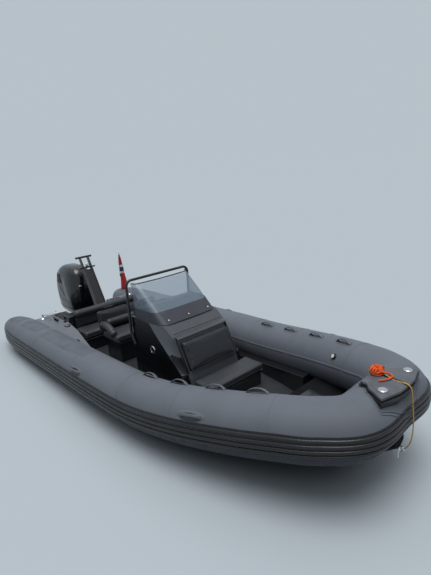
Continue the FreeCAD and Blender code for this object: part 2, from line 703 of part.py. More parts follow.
def handle(x, degrees, length=HANDLE_LENGTH, height=HANDLE_HEIGHT):
    outer = [(-0.5 * length, -HANDLE_SINK), (-0.5 * length, 10.0), (-0.28 * length, height), (0.28 * length, height),
             (0.5 * length, 10.0), (0.5 * length, -HANDLE_SINK)]
    inner = [(0.32 * length, -HANDLE_SINK), (0.22 * length, height - HANDLE_BAR), (-0.22 * length, height - HANDLE_BAR),
             (-0.32 * length, -HANDLE_SINK)]
    point, normal, along = skin_frame(x, degrees)
    across = normal.cross(along)
    start = point - across * (HANDLE_WIDTH / 2.0)
    points = [start + along * u + normal * v for u, v in outer + inner]
    return beside_tubes(prism(points, across * HANDLE_WIDTH))


GRAB_X = [630.0, 1030.0, 1430.0, 1810.0]
GRAB_ANGLE = 105.0
port_handles = [handle(x, GRAB_ANGLE) for x in GRAB_X]
save("grab_handles", *port_handles, *[mirrored(shape) for shape in port_handles])
CARRY_X = [-380.0, 1350.0]
CARRY_ANGLE = 34.0
CARRY_LENGTH = 210.0
CARRY_HEIGHT = 46.0
port_carry = [handle(x, CARRY_ANGLE, CARRY_LENGTH, CARRY_HEIGHT) for x in CARRY_X]
save("carry_handles", *port_carry, *[mirrored(shape) for shape in port_carry])

VALVE_X = [-1200.0, 1820.0]
VALVE_ANGLE = 146.0
valves = []
for x in VALVE_X:
    point, normal, along = skin_frame(x, VALVE_ANGLE)
    body = beside_tubes(Part.makeCylinder(22.0, 24.0, point - normal * 4.0, normal))
    valves += [body, mirrored(body)]
save("inflation_valves", *valves)

# Tow mast: two raked plates on a foot, a bar for the light and the tow bar across the top
mast_outline = [(MAST_FOOT_X + 58.0, MAST_FOOT_Z), (MAST_TOP_X + 32.0, MAST_TOP_Z), (MAST_TOP_X - 24.0, MAST_TOP_Z),
                (MAST_FOOT_X - 58.0, MAST_FOOT_Z)]
plates = []
for side in (-1.0, 1.0):
    y = side * MAST_HALF
    plates.append(side_prism(mast_outline, y - MAST_PLATE / 2.0, y + MAST_PLATE / 2.0))
mast = plates[0].fuse(plates[1])
mast = mast.fuse(box(MAST_FOOT_X - 55.0, MAST_FOOT_X + 60.0, -MAST_HALF - 25.0, MAST_HALF + 25.0, MAST_FOOT_Z,
                     MAST_FOOT_Z + 10.0))
for share in (0.3, 0.72):
    x = MAST_FOOT_X + share * (MAST_TOP_X - MAST_FOOT_X)
    z = MAST_FOOT_Z + share * (MAST_TOP_Z - MAST_FOOT_Z)
    mast = mast.fuse(cylinder(V(x, -MAST_HALF, z), V(x, MAST_HALF, z), 14.0))
bar_z = MAST_TOP_Z - 5.0
mast = mast.fuse(cylinder(V(MAST_TOP_X, -TOW_BAR_HALF, bar_z), V(MAST_TOP_X, TOW_BAR_HALF, bar_z), TOW_BAR_RADIUS))
LOW_BAR_X = MAST_FOOT_X + 0.78 * (MAST_TOP_X - MAST_FOOT_X)
LOW_BAR_Z = MAST_FOOT_Z + 0.78 * (MAST_TOP_Z - MAST_FOOT_Z)
mast = mast.fuse(cylinder(V(LOW_BAR_X, -TOW_BAR_HALF, LOW_BAR_Z), V(LOW_BAR_X, TOW_BAR_HALF, LOW_BAR_Z), 11.0))
save("tow_mast", mast.removeSplitter())
LIGHT_RADIUS = 24.0
light_foot = V(LOW_BAR_X + 8.0, 0.0, LOW_BAR_Z + 11.0)
save("mast_light", cylinder(light_foot, light_foot + V(0, 0, 55.0), LIGHT_RADIUS))

# Flag staff on the port stern deck with a furled flag
STAFF_X = TRANSOM_X + 130.0
STAFF_Y = 640.0
STAFF_LEAN = 80.0
STAFF_TOP_Z = 1175.0
STAFF_RADIUS = 9.0
FLAG_LOW_RADIUS = 62.0
FLAG_TOP_RADIUS = 14.0
STAFF = V(STAFF_X, STAFF_Y, STERN_DECK)
STAFF_TOP = V(STAFF_X - STAFF_LEAN, STAFF_Y, STAFF_TOP_Z)
lean = STAFF_TOP - STAFF
flag_low = STAFF + lean * 0.16
flag_high = STAFF + lean * 0.97
lean.normalize()
staff = cylinder(STAFF - lean * 20.0, STAFF_TOP, STAFF_RADIUS)
below_deck = box(STAFF.x - 60.0, STAFF.x + 60.0, STAFF.y - 60.0, STAFF.y + 60.0, STERN_DECK - 100.0, STERN_DECK)
save("flag_staff", staff.cut(below_deck))
furled = Part.makeCone(FLAG_LOW_RADIUS, FLAG_TOP_RADIUS, (flag_high - flag_low).Length, flag_low, lean)
save("flag", furled.cut(cylinder(STAFF, STAFF_TOP + lean * 50.0, STAFF_RADIUS + SEAT)))

# Outboard: clamp bracket on the transom
CLAMP_HALF = 105.0
CLAMP_PLATE = 22.0
CLAMP_LOW = TILT_Z - 312.0
clamp_front = TRANSOM_X + TRANSOM_THICK + 20.0
clamp_outline = [(TRANSOM_X, CLAMP_LOW), (TRANSOM_X, TRANSOM_TOP), (clamp_front, TRANSOM_TOP),
                 (clamp_front, TILT_Z + 23.0), (TILT_X - 30.0, TILT_Z + 28.0), (TILT_X - 30.0, CLAMP_LOW)]
cheeks = []
for side in (-1.0, 1.0):
    y = side * CLAMP_HALF
    cheeks.append(side_prism(clamp_outline, y - CLAMP_PLATE / 2.0, y + CLAMP_PLATE / 2.0))
inner = CLAMP_HALF - CLAMP_PLATE / 2.0
TIE_TOP = CLAMP_LOW + 50.0
tie = box(TRANSOM_X - 20.0, TRANSOM_X, -inner, inner, TIE_TOP - 40.0, TIE_TOP)
TILT_PIN = 15.0
clamp = cheeks[0].fuse(cheeks[1]).fuse(tie)
clamp = clamp.cut(cylinder(V(TILT_X, -200.0, TILT_Z), V(TILT_X, 200.0, TILT_Z), TILT_PIN + SHAFT_GAP))
save("clamp_bracket", clamp.removeSplitter())
RAM_RADIUS = 19.0
ram = cylinder(V(TILT_X, 0, TIE_TOP + 10.0), V(TILT_X, 0, TIE_TOP + 140.0), RAM_RADIUS)
ram_foot = box(TILT_X - RAM_RADIUS, TRANSOM_X, -16.0, 16.0, TIE_TOP + SEAT, TIE_TOP + 20.0)
save("tilt_ram", ram.fuse(ram_foot).removeSplitter())

# Swivel bracket: the tilt tube and the sleeve for the steering post
SWIVEL_HALF = inner - RUNNING
POST_RADIUS = 24.0
swivel = cylinder(V(TILT_X, -CLAMP_HALF - 14.0, TILT_Z), V(TILT_X, CLAMP_HALF + 14.0, TILT_Z), TILT_PIN)
swivel = swivel.fuse(side_prism([(TILT_X + 22.0, TILT_Z - 22.0), (TILT_X + 22.0, TILT_Z + 22.0),
                                 (STEER_X, TILT_Z + 22.0), (STEER_X, TILT_Z - 60.0)], -SWIVEL_HALF, SWIVEL_HALF))
SLEEVE_LOW = TILT_Z - 352.0
sleeve = cylinder(V(STEER_X, 0, SLEEVE_LOW), V(STEER_X, 0, TILT_Z + 22.0), POST_RADIUS + 16.0)
post_hole = cylinder(V(STEER_X, 0, SLEEVE_LOW - 20.0), V(STEER_X, 0, TILT_Z + 130.0), POST_RADIUS + SHAFT_GAP)
swivel = swivel.fuse(sleeve).cut(post_hole)
save("swivel_bracket", swivel.removeSplitter())


# Engine cowl: rounded sections, hollow over the power head
ROUNDNESS = 0.78    # corner radius as a share of the half width


def engine_section(x, half_length, half_width, z):
    """A rectangle with round corners, across the engine at one height."""
    radius = ROUNDNESS * half_width
    edges = []
    start = None
    for turn, (sx, sy) in enumerate(((1, 1), (-1, 1), (-1, -1), (1, -1))):
        centre = V(x + sx * (half_length - radius), sy * (half_width - radius), z)
        first = math.radians(90.0 * turn)
        points = [centre + V(math.cos(first + math.radians(step)), math.sin(first + math.radians(step)), 0) * radius
                  for step in (0.0, 45.0, 90.0)]
        if start is not None:
            edges.append(Part.LineSegment(start, points[0]).toShape())
        else:
            first_point = points[0]
        edges.append(Part.Arc(*points).toShape())
        start = points[2]
    edges.append(Part.LineSegment(start, first_point).toShape())
    return Part.Wire(edges)


# Cowl sections: z, x of the middle, half length, half width
TRAY_TOP = TILT_Z + 58.0
COWL = [
    (TRAY_TOP, COWL_X, 270.0, 165.0),
    (TRAY_TOP + 90.0, COWL_X, 345.0, 208.0),
    (TRAY_TOP + 330.0, COWL_X, 370.0, 220.0),
    (TRAY_TOP + 530.0, COWL_X + 5.0, 360.0, 212.0),
    (TRAY_TOP + 660.0, COWL_X + 12.0, 310.0, 182.0),
    (TRAY_TOP + 730.0, COWL_X + 20.0, 225.0, 125.0),
    (TRAY_TOP + 750.0, COWL_X + 22.0, 130.0, 70.0),
]


def cowl_loft(inset, rows):
    return ruled([engine_section(x, a - inset, b - inset, z) for z, x, a, b in rows])


COWL_SEAT = 10.0    # the cowl's floor
hollow_rows = [(TRAY_TOP + COWL_SEAT,) + COWL[0][1:]] + COWL[1:5]
cowl = cowl_loft(0.0, COWL).cut(cowl_loft(COWL_WALL, hollow_rows))
save("cowl", cowl)
HEAD_AFT = COWL_X - 200.0
HEAD_FRONT = COWL_X + 150.0
HEAD_HALF = 120.0
HEAD_TOP = TRAY_TOP + 530.0
save("power_head", box(HEAD_AFT, HEAD_FRONT, -HEAD_HALF, HEAD_HALF, TRAY_TOP + COWL_SEAT, HEAD_TOP))

# Leg: the tray under the cowl, the mid section behind the swivel bracket, and the steering post
LEG_X = COWL_X + 20.0
YOKE_TOP = TILT_Z + 22.0
TRAY_Z = YOKE_TOP + RUNNING + 2.0
LEG_FRONT = STEER_X - POST_RADIUS - 28.0
tray = ruled([engine_section(LEG_X, 200.0, 130.0, TRAY_TOP), engine_section(LEG_X, 190.0, 122.0, TRAY_Z)])
# Leg sections: z, x of the front, x of the back, half width
LEG = [
    (TRAY_Z, LEG_FRONT, LEG_X - 170.0, 95.0),
    (TRAY_Z - 72.0, LEG_FRONT, LEG_X - 145.0, 84.0),
    (TRAY_Z - 302.0, LEG_FRONT - 15.0, LEG_X - 125.0, 60.0),
    (PLATE_Z + 60.0, LEG_FRONT - 28.0, LEG_X - 120.0, 46.0),
]
leg = ruled([engine_section((front + back) / 2.0, (front - back) / 2.0, half, z) for z, front, back, half in LEG])
ARM_TOP = SLEEVE_LOW - RUNNING
post = cylinder(V(STEER_X, 0, ARM_TOP - 14.0), V(STEER_X, 0, TRAY_TOP), POST_RADIUS)
lower_arm = box(LEG_X - 60.0, STEER_X + 26.0, -30.0, 30.0, ARM_TOP - 44.0, ARM_TOP)
upper_arm = box(LEG_X - 60.0, STEER_X + 30.0, -36.0, 36.0, TRAY_Z, TRAY_TOP)
save("leg", leg.fuse(tray).fuse(post).fuse(upper_arm).fuse(lower_arm).removeSplitter())

gear_rows = [(PLATE_Z + 60.0, LEG_X - 10.0, 110.0, 46.0), (PLATE_Z, LEG_X - 20.0, 118.0, 40.0),
             (PROP_Z, LEG_X - 25.0, 104.0, 30.0)]
gear = ruled([engine_section(x, a, b, z) for z, x, a, b in gear_rows])
plate = side_prism([(LEG_X - 290.0, PLATE_Z), (LEG_X + 90.0, PLATE_Z), (LEG_X + 90.0, PLATE_Z + 9.0),
                    (LEG_X - 290.0, PLATE_Z + 9.0)], -105.0, 105.0)
TORPEDO_RADIUS = 48.0
TORPEDO_AFT = PROP_X + 55.0
TORPEDO_FRONT = TORPEDO_AFT + 330.0
NOSE_LENGTH = 90.0
NOSE_RADIUS = 14.0
torpedo = cylinder(V(TORPEDO_AFT, 0, PROP_Z), V(TORPEDO_FRONT, 0, PROP_Z), TORPEDO_RADIUS)
nose = Part.makeCone(TORPEDO_RADIUS, NOSE_RADIUS, NOSE_LENGTH, V(TORPEDO_FRONT, 0, PROP_Z), V(1, 0, 0))
skeg = side_prism([(LEG_X - 130.0, PROP_Z), (LEG_X + 70.0, PROP_Z), (LEG_X - 60.0, PROP_Z - 190.0),
                   (LEG_X - 130.0, PROP_Z - 190.0)], -6.0, 6.0)
gearcase = gear.fuse(plate).fuse(torpedo).fuse(nose).fuse(skeg).removeSplitter()
save("gearcase", gearcase)

# Propeller: hub and three raked blades
HUB_AFT = PROP_X - 60.0
prop_hub = cylinder(V(HUB_AFT, 0, PROP_Z), V(TORPEDO_AFT - SEAT, 0, PROP_Z), HUB_RADIUS)
blades = []
BLADES = 3
for number in range(BLADES):
    blade = Part.makeBox(7.0, 120.0, PROP_RADIUS - 30.0, V(PROP_X - 3.5, -60.0, PROP_Z + 30.0))
    blade = blade.common(Part.makeCylinder(PROP_RADIUS, 300.0, V(PROP_X - 150.0, 0, PROP_Z), V(1, 0, 0)))
    blade.rotate(V(PROP_X, 0, PROP_Z), V(0, 0, 1), 32.0)
    blade.rotate(V(PROP_X, 0, PROP_Z), V(1, 0, 0), 360.0 / BLADES * number)
    blades.append(blade)
propeller = prop_hub
for blade in blades:
    propeller = propeller.fuse(blade)
save("propeller", propeller.removeSplitter())

# Painter: from the bow eye, over the bow tube and into the pad's groove, to its knot
PAINTER_RADIUS = 4.5
PAINTER_LINE = [
    (2639.3, 415.2), (2663.0, 445.0), (2680.0, 492.0), (2688.0, 548.0), (2690.0, 608.0), (2688.0, 668.0),
    (2683.0, 728.0), (2675.0, 786.0), (2670.0, 842.0), (2663.0, 892.0), (2654.0, 928.0), (2628.0, 947.0),
    (2586.0, 946.0), (2545.0, 941.0), (2508.0, 946.0), (2483.0, 957.5), (2462.0, 962.5),
]
painter_points = [V(x, 0, z) for x, z in PAINTER_LINE]
painter, painter_wire, painter_radii = tube_along(painter_points, PAINTER_RADIUS)
print("painter length", round(painter_wire.Length), "radii", painter_radii, "volume over section times length",
      round(painter.Volume / (math.pi * PAINTER_RADIUS ** 2 * painter_wire.Length), 4))
save("painter", painter)
KNOT_HALF = 68.0
save("painter_knot", rounded_box(2340.0, 2460.6, -KNOT_HALF, KNOT_HALF, PAD_TOP + SEAT, PAD_TOP + 55.0, 10.0))
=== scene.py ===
import json
import math

import bmesh
import bpy
from mathutils import Matrix, Vector
from mathutils.bvhtree import BVHTree


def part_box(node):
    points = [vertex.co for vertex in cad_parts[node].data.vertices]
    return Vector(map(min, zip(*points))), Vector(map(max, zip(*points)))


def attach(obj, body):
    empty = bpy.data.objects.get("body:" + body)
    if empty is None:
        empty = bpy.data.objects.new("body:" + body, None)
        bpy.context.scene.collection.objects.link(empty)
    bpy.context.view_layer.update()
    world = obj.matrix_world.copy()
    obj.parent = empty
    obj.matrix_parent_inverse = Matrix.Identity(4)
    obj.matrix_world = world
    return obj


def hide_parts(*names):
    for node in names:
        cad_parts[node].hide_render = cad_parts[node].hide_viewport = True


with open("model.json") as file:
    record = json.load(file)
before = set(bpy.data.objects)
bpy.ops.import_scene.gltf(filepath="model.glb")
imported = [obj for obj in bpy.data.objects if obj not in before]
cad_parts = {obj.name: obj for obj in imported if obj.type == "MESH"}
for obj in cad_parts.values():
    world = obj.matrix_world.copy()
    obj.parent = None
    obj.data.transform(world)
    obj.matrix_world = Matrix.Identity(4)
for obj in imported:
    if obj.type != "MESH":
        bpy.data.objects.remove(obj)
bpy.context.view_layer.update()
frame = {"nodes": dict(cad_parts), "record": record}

SIDES = (("port", 1.0), ("starboard", -1.0))
NODE_SLOT = {row["node"]: row["material_slot"] for row in frame["record"]["subparts"]}
NODE_BODY = {node: body for body, nodes in frame["record"]["behaviour"]["bodies"].items() for node in nodes}

# Camera: place, heading from +Y towards -X, pitch down and roll, in metres and degrees
CAMERA_AT = Vector((3.765, -2.799, 2.560))
HEADING = 48.04
PITCH = 16.73
ROLL = 3.31
FOCAL_PIXELS = 433.0
IMAGE_HEIGHT = 575.0
SENSOR = 36.0

# Tube stations: x, y and z of the centre, radius. Aft to bow, port side.
STATIONS = [
    (-3.080, 0.930, 0.240, 0.070),
    (-2.980, 0.930, 0.239, 0.150),
    (-2.700, 0.930, 0.238, 0.215),
    (-2.250, 0.930, 0.246, 0.250),
    (-1.000, 0.930, 0.296, 0.250),
    (0.000, 0.930, 0.345, 0.250),
    (0.600, 0.905, 0.375, 0.250),
    (1.100, 0.838, 0.440, 0.250),
    (1.600, 0.725, 0.528, 0.248),
    (1.950, 0.618, 0.592, 0.244),
    (2.205, 0.518, 0.636, 0.240),
    (2.412, 0.340, 0.668, 0.234),
    (2.424, 0.000, 0.672, 0.232),
]
AFT_END = 5
FORE_END = 9
BOW_END = len(STATIONS) - 1
RING_SIDES = 72
STEPS_PER_STATION = 10


# Shader nodes
def feed(tree, node, inputs):
    """Set a node's inputs, each to a value or to another node's output."""
    for name, value in inputs.items():
        if isinstance(value, bpy.types.NodeSocket):
            tree.links.new(value, node.inputs[name])
        else:
            node.inputs[name].default_value = value


def add_node(tree, kind, inputs, **settings):
    node = tree.nodes.new("ShaderNode" + kind)
    for name, value in settings.items():
        setattr(node, name, value)
    feed(tree, node, inputs)
    return node


def new_material(name):
    material = bpy.data.materials.new(name)
    material.use_nodes = True
    return material, material.node_tree, material.node_tree.nodes["Principled BSDF"]


# Materials
TEXTURES = {"noise": "TexNoise", "cells": "TexVoronoi", "weave": "TexWave", "weave_across": "TexWave",
            "tread": "TexVoronoi"}


def make_material(name, colour, roughness, metallic=0.0, coat=0.0, specular=0.5, alpha=1.0,
                  spread=0.12, patch=4.0, rough_spread=0.08, bumps=()):
    """Principled material: colour and roughness vary with noise, and bumps is a list of
    (texture, scale, distance in metres)."""
    material, tree, shader = new_material(name)
    place = add_node(tree, "TexCoord", {}).outputs["Object"]
    noise = add_node(tree, "TexNoise", {"Scale": patch, "Detail": 6.0, "Vector": place})
    ramp = add_node(tree, "ValToRGB", {"Fac": noise.outputs["Fac"]})
    for element, position, share in zip(ramp.color_ramp.elements, (0.32, 0.68), (1.0 - spread, 1.0 + spread)):
        element.position = position
        element.color = (*(min(1.0, c * share) for c in colour), 1.0)
    rough_noise = add_node(tree, "TexNoise", {"Scale": patch * 5.0, "Detail": 8.0, "Vector": place})
    rough = add_node(tree, "MapRange", {"Value": rough_noise.outputs["Fac"],
                                        "To Min": max(0.02, roughness - rough_spread),
                                        "To Max": min(1.0, roughness + rough_spread)})
    feed(tree, shader, {"Metallic": metallic, "Coat Weight": coat, "Coat Roughness": 0.08,
                        "Specular IOR Level": specular, "Alpha": alpha, "Base Color": ramp.outputs["Color"],
                        "Roughness": rough.outputs["Result"]})
    for kind, scale, distance in bumps:
        texture = add_node(tree, TEXTURES[kind], {"Scale": scale, "Vector": place})
        if kind == "weave_across":
            texture.bands_direction = "Y"
        if kind == "tread":
            texture.distance = "CHEBYCHEV"
            texture.inputs["Randomness"].default_value = 0.0
        height = texture.outputs["Distance" if "Distance" in texture.outputs else "Fac"]
        bump = add_node(tree, "Bump", {"Distance": distance, "Height": height})
        # Each bump lies on the one before it
        if shader.inputs["Normal"].is_linked:
            feed(tree, bump, {"Normal": shader.inputs["Normal"].links[0].from_socket})
        feed(tree, shader, {"Normal": bump.outputs["Normal"]})
    return material


FINE_WEAVE = [("weave", 260.0, 0.00012), ("weave_across", 260.0, 0.00012), ("noise", 3.0, 0.004)]
GRAIN = [("cells", 420.0, 0.0004), ("noise", 30.0, 0.0012)]
NON_SLIP = [("tread", 95.0, 0.0016), ("noise", 400.0, 0.0004)]
ORANGE_PEEL = [("noise", 28.0, 0.0008)]
ROPE_FIBRE = [("noise", 700.0, 0.0006)]
BLACK = (0.009, 0.010, 0.012)

# Name: colour, roughness and what else sets it apart
SURFACES = {
    "tube_fabric": ((0.148, 0.168, 0.200), 0.54,
                    dict(specular=0.25, spread=0.08, patch=2.2, bumps=FINE_WEAVE)),
    "patch_fabric": ((0.124, 0.142, 0.170), 0.62,
                     dict(specular=0.3, patch=6.0, bumps=[("tread", 160.0, 0.0009), ("noise", 40.0, 0.001)])),
    "strake_rubber": ((0.013, 0.014, 0.017), 0.28, dict(spread=0.25, bumps=[("noise", 60.0, 0.0006)])),
    "hull_black": (BLACK, 0.75, dict(specular=0.08, spread=0.2, bumps=ORANGE_PEEL)),
    "gloss_black": ((0.012, 0.0135, 0.016), 0.20, dict(coat=0.5, spread=0.2, bumps=ORANGE_PEEL)),
    "deck_grey": ((0.022, 0.025, 0.030), 0.55, dict(spread=0.2, patch=7.0, bumps=NON_SLIP)),
    "stainless": ((0.72, 0.73, 0.75), 0.14,
                  dict(metallic=1.0, spread=0.05, bumps=[("noise", 220.0, 0.0002)])),
    "black_fittings": ((0.014, 0.015, 0.017), 0.42, dict(spread=0.25, bumps=[("noise", 500.0, 0.0002)])),
    "vinyl": ((0.030, 0.035, 0.043), 0.44, dict(patch=5.0, bumps=GRAIN)),
    "vinyl_dark": ((0.017, 0.020, 0.025), 0.42, dict(patch=5.0, bumps=GRAIN)),
    # Pale blue screen colour: partly the screen's own tint, partly painted reflection of a blue sky
    "smoked_screen": ((0.26, 0.35, 0.45), 0.16, dict(alpha=0.40, spread=0.04, rough_spread=0.015)),
    "console_grey": ((0.056, 0.064, 0.078), 0.30, dict(coat=0.2, spread=0.05, bumps=ORANGE_PEEL)),
    # Lighter copy of the console's grey: painted reflection of the sky on its upper slanted corners
    "console_painted_sky_reflection": ((0.100, 0.112, 0.134), 0.30, dict(coat=0.2, spread=0.05, bumps=ORANGE_PEEL)),
    "screen_band": ((0.050, 0.058, 0.072), 0.42, dict(specular=0.35, spread=0.1, bumps=ORANGE_PEEL)),
    # Near-black copy of the console's grey: painted shade on its upright sides and low slanted corners
    "console_painted_shade": ((0.006, 0.007, 0.009), 0.22, dict(specular=0.3, spread=0.2, bumps=ORANGE_PEEL)),
    "deck_moulding": ((0.140, 0.156, 0.185), 0.36, dict(spread=0.08, patch=3.0, bumps=ORANGE_PEEL)),
    "black_rail": ((0.011, 0.012, 0.014), 0.32, dict(coat=0.2, spread=0.2, bumps=[("noise", 350.0, 0.0003)])),
    "wheel_rim": ((0.018, 0.019, 0.021), 0.55, dict(bumps=GRAIN)),
    "step_pad": ((0.105, 0.115, 0.135), 0.58,
                 dict(spread=0.15, patch=12.0, bumps=[("tread", 170.0, 0.0012), ("noise", 60.0, 0.001)])),
    "handle_rubber": ((0.105, 0.115, 0.135), 0.45, dict(spread=0.2, bumps=[("noise", 90.0, 0.0005)])),
    # White of the mast light's lens; also used as a painted highlight on the valve caps
    "white_light": ((0.78, 0.78, 0.76), 0.25, dict(spread=0.04)),
    "staff_white": ((0.74, 0.74, 0.72), 0.30, dict(spread=0.05)),
    "engine_metal": (BLACK, 0.24, dict(coat=0.4, spread=0.25, bumps=ORANGE_PEEL)),
    "cowl_gloss": ((0.008, 0.009, 0.011), 0.18, dict(coat=0.4, spread=0.15, bumps=[("noise", 14.0, 0.0008)])),
    "engine_block": ((0.06, 0.06, 0.06), 0.5, dict(metallic=0.6, bumps=[("noise", 120.0, 0.001)])),
    "propeller_metal": ((0.018, 0.019, 0.021), 0.28, dict(coat=0.3)),
    "rope_yellow": ((0.78, 0.47, 0.10), 0.75, dict(spread=0.25, patch=60.0, bumps=ROPE_FIBRE)),
    "rope_orange": ((0.83, 0.12, 0.02), 0.70, dict(spread=0.25, patch=60.0, bumps=ROPE_FIBRE)),
    "gauge_glass": ((0.03, 0.035, 0.04), 0.05, dict(specular=0.8, spread=0.3)),
    "grille": ((0.004, 0.004, 0.005), 0.6, dict(bumps=[("tread", 120.0, 0.003)])),
}
MATERIALS = {name: make_material(name, colour, roughness, **rest)
             for name, (colour, roughness, rest) in SURFACES.items()}


# Points and lines
def span(first, last, steps):
    return [first + (last - first) * i / steps for i in range(steps + 1)]


def circle(count):
    """Cosine and sine of each step round a circle."""
    turns = [2.0 * math.pi * k / count for k in range(count)]
    return [(math.cos(turn), math.sin(turn)) for turn in turns]


def ring_round(centre, side, other, radius, count):
    return [centre + (side * c + other * s) * radius for c, s in circle(count)]


def mirrored(rings):
    """The same rings on the other side of the boat, back from the one before the last."""
    return [[Vector((p.x, -p.y, p.z)) for p in ring] for ring in reversed(rings[:-1])]


def smooth_between(a, b, c, d, f):
    """Catmull-Rom value between rows b and c."""
    return 0.5 * (2.0 * b + (c - a) * f + (2.0 * a - 5.0 * b + 4.0 * c - d) * f * f
                  + (3.0 * b - a - 3.0 * c + d) * f ** 3)


def block_corners(xs, ys, zs):
    """Eight corners of a block. xs and ys are pairs, or functions that give the pair at a height."""
    corners = []
    for z in zs:
        x0, x1 = xs(z) if callable(xs) else xs
        y0, y1 = ys(z) if callable(ys) else ys
        corners += [(x0, y0, z), (x1, y0, z), (x1, y1, z), (x0, y1, z)]
    return corners


def node_box(node):
    return [Vector(corner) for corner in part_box(node)]


# Mesh building
def new_object(name, data):
    item = bpy.data.objects.new(name, data)
    bpy.context.scene.collection.objects.link(item)
    return item


def evaluated_mesh(item):
    """A new mesh of an object with its modifiers applied."""
    return bpy.data.meshes.new_from_object(item.evaluated_get(bpy.context.evaluated_depsgraph_get()))


class Mesh:
    """Points and faces of one piece, gathered before its object is made."""

    def __init__(self):
        self.points = []
        self.faces = []

    def add(self, points, faces):
        first = len(self.points)
        self.points += [Vector(p) for p in points]
        self.faces += [[first + i for i in face] for face in faces]

    def rings(self, rings, closed=True, caps=True):
        """Quads between rings of as many points; caps close the two ends."""
        count = len(rings[0])
        faces = []
        for row in range(len(rings) - 1):
            for k in range(count if closed else count - 1):
                after = (k + 1) % count
                faces.append([row * count + k, row * count + after, (row + 1) * count + after,
                              (row + 1) * count + k])
        if caps:
            faces.append(list(reversed(range(count))))
            faces.append([(len(rings) - 1) * count + k for k in range(count)])
        self.add([p for ring in rings for p in ring], faces)

    def sweep(self, path, radius, sides=10, closed=False):
        """A round bar along a path; radius may be one value or one for each point."""
        path = [Vector(p) for p in path]
        radii = radius if isinstance(radius, list) else [radius] * len(path)
        rings = []
        side = None
        for i, point in enumerate(path):
            before = path[i - 1] if i or closed else point
            after = path[(i + 1) % len(path)] if i < len(path) - 1 or closed else point
            along = (after - before).normalized()
            if side is None:
                side = along.orthogonal().normalized()
            side = (side - along * side.dot(along)).normalized()
            rings.append(ring_round(point, side, along.cross(side), radii[i], sides))
        if closed:
            rings.append(rings[0])
        self.rings(rings, caps=not closed)

    def lathe(self, centre, axis, profile, sides=24):
        """A turned shape: profile rows are (radius, height along the axis)."""
        axis = Vector(axis).normalized()
        side = axis.orthogonal().normalized()
        other = axis.cross(side)
        self.rings([ring_round(Vector(centre) + axis * height, side, other, max(radius, 0.0003), sides)
                    for radius, height in profile])

    def block(self, corners):
        """Eight corners: four below, then the four above them."""
        self.add(corners, [[3, 2, 1, 0], [4, 5, 6, 7], [0, 1, 5, 4], [1, 2, 6, 5], [2, 3, 7, 6],
                           [3, 0, 4, 7]])

    def slab(self, at, across, up, normal, near, far):
        """A block round a place: half its width and height, and its two faces along the normal."""
        self.block([at + across * sy + up * sz + normal * n for n in (near, far)
                    for sy, sz in ((-1, -1), (1, -1), (1, 1), (-1, 1))])

    def mirror(self):
        """Add the same again on the other side of the boat."""
        points = [Vector((p.x, -p.y, p.z)) for p in self.points]
        self.add(points, [list(reversed(face)) for face in list(self.faces)])

    def build(self, name, material, body="root", bevel=0.0, sharp=35.0, slot=None):
        mesh = bpy.data.meshes.new(name)
        mesh.from_pydata([tuple(p) for p in self.points], [], self.faces)
        bm = bmesh.new()
        bm.from_mesh(mesh)
        bmesh.ops.remove_doubles(bm, verts=bm.verts, dist=1e-6)
        bmesh.ops.recalc_face_normals(bm, faces=bm.faces)
        bm.to_mesh(mesh)
        bm.free()
        piece = new_object(name, mesh)
        dress(piece, material, body, bevel, sharp)
        return piece


def dress(piece, material, body="root", bevel=0.0, sharp=35.0, segments=2):
    """Material, soft edges, shading and body of a piece."""
    piece.data.materials.clear()
    piece.data.materials.append(MATERIALS[material])
    piece.data.shade_smooth()
    piece.data.set_sharp_from_angle(angle=math.radians(sharp))
    if bevel:
        edge = piece.modifiers.new("soft_edges", "BEVEL")
        edge.width = bevel
        edge.segments = segments
        edge.limit_method = "ANGLE"
        edge.angle_limit = math.radians(sharp)
        edge.harden_normals = True
    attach(piece, body)


def softened_copy(node, bevel, material=None, segments=2):
    """The node's own shape with soft edges, standing for it."""
    mesh = frame["nodes"][node].data.copy()
    bm = bmesh.new()
    bm.from_mesh(mesh)
    bmesh.ops.remove_doubles(bm, verts=bm.verts, dist=2e-5)
    bmesh.ops.dissolve_limit(bm, angle_limit=math.radians(1.0), verts=bm.verts, edges=bm.edges)
    bm.to_mesh(mesh)
    bm.free()
    mesh.validate()
    piece = new_object(node + "_shape", mesh)
    dress(piece, material or NODE_SLOT[node], NODE_BODY[node], bevel, 20.0, segments)
    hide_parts(node)
    return piece


def soften(bevels, **materials):
    """Softened copies of several nodes; the materials named are those that aren't the node's own."""
    for node, bevel in bevels.items():
        softened_copy(node, bevel, materials.get(node))


def finish_nodes(*nodes):
    """Nodes that keep their own shape get their material."""
    for node in nodes:
        for slot in frame["nodes"][node].material_slots:
            slot.material = MATERIALS[NODE_SLOT[node]]


def turned(name, material, places, axis, profile, sides=24, **looks):
    """One piece of like turned shapes."""
    shape = Mesh()
    for place in places:
        shape.lathe(place, axis, profile, sides)
    return shape.build(name, material, **looks)


# Tube skin: a smooth line through the stations
def smooth_row(t):
    """Centre and radius of the tube at a place along its line; past the bow it mirrors the port side."""
    def row(i):
        if i > BOW_END:
            x, y, z, radius = STATIONS[2 * BOW_END - i]
            return Vector((x, -y, z, radius))
        if i < 0:
            return Vector(STATIONS[0]) * 2.0 - Vector(STATIONS[1])
        return Vector(STATIONS[i])
    i = min(int(t), BOW_END - 1)
    return smooth_between(*(row(i + k) for k in (-1, 0, 1, 2)), t - i)


def tube_frame(t):
    """Centre, outward and up directions, along direction and radius."""
    here = smooth_row(t)
    step = 0.02
    ahead = smooth_row(min(t + step, float(BOW_END)))
    behind = smooth_row(max(t - step, 0.0))
    along = (ahead.to_3d() - behind.to_3d()).normalized()
    if t > BOW_END - step:
        along = Vector((0.0, -1.0, 0.0))
    outward = Vector((-along.y, along.x, 0.0)).normalized()
    return here.to_3d(), outward, along.cross(outward), along, here[3]


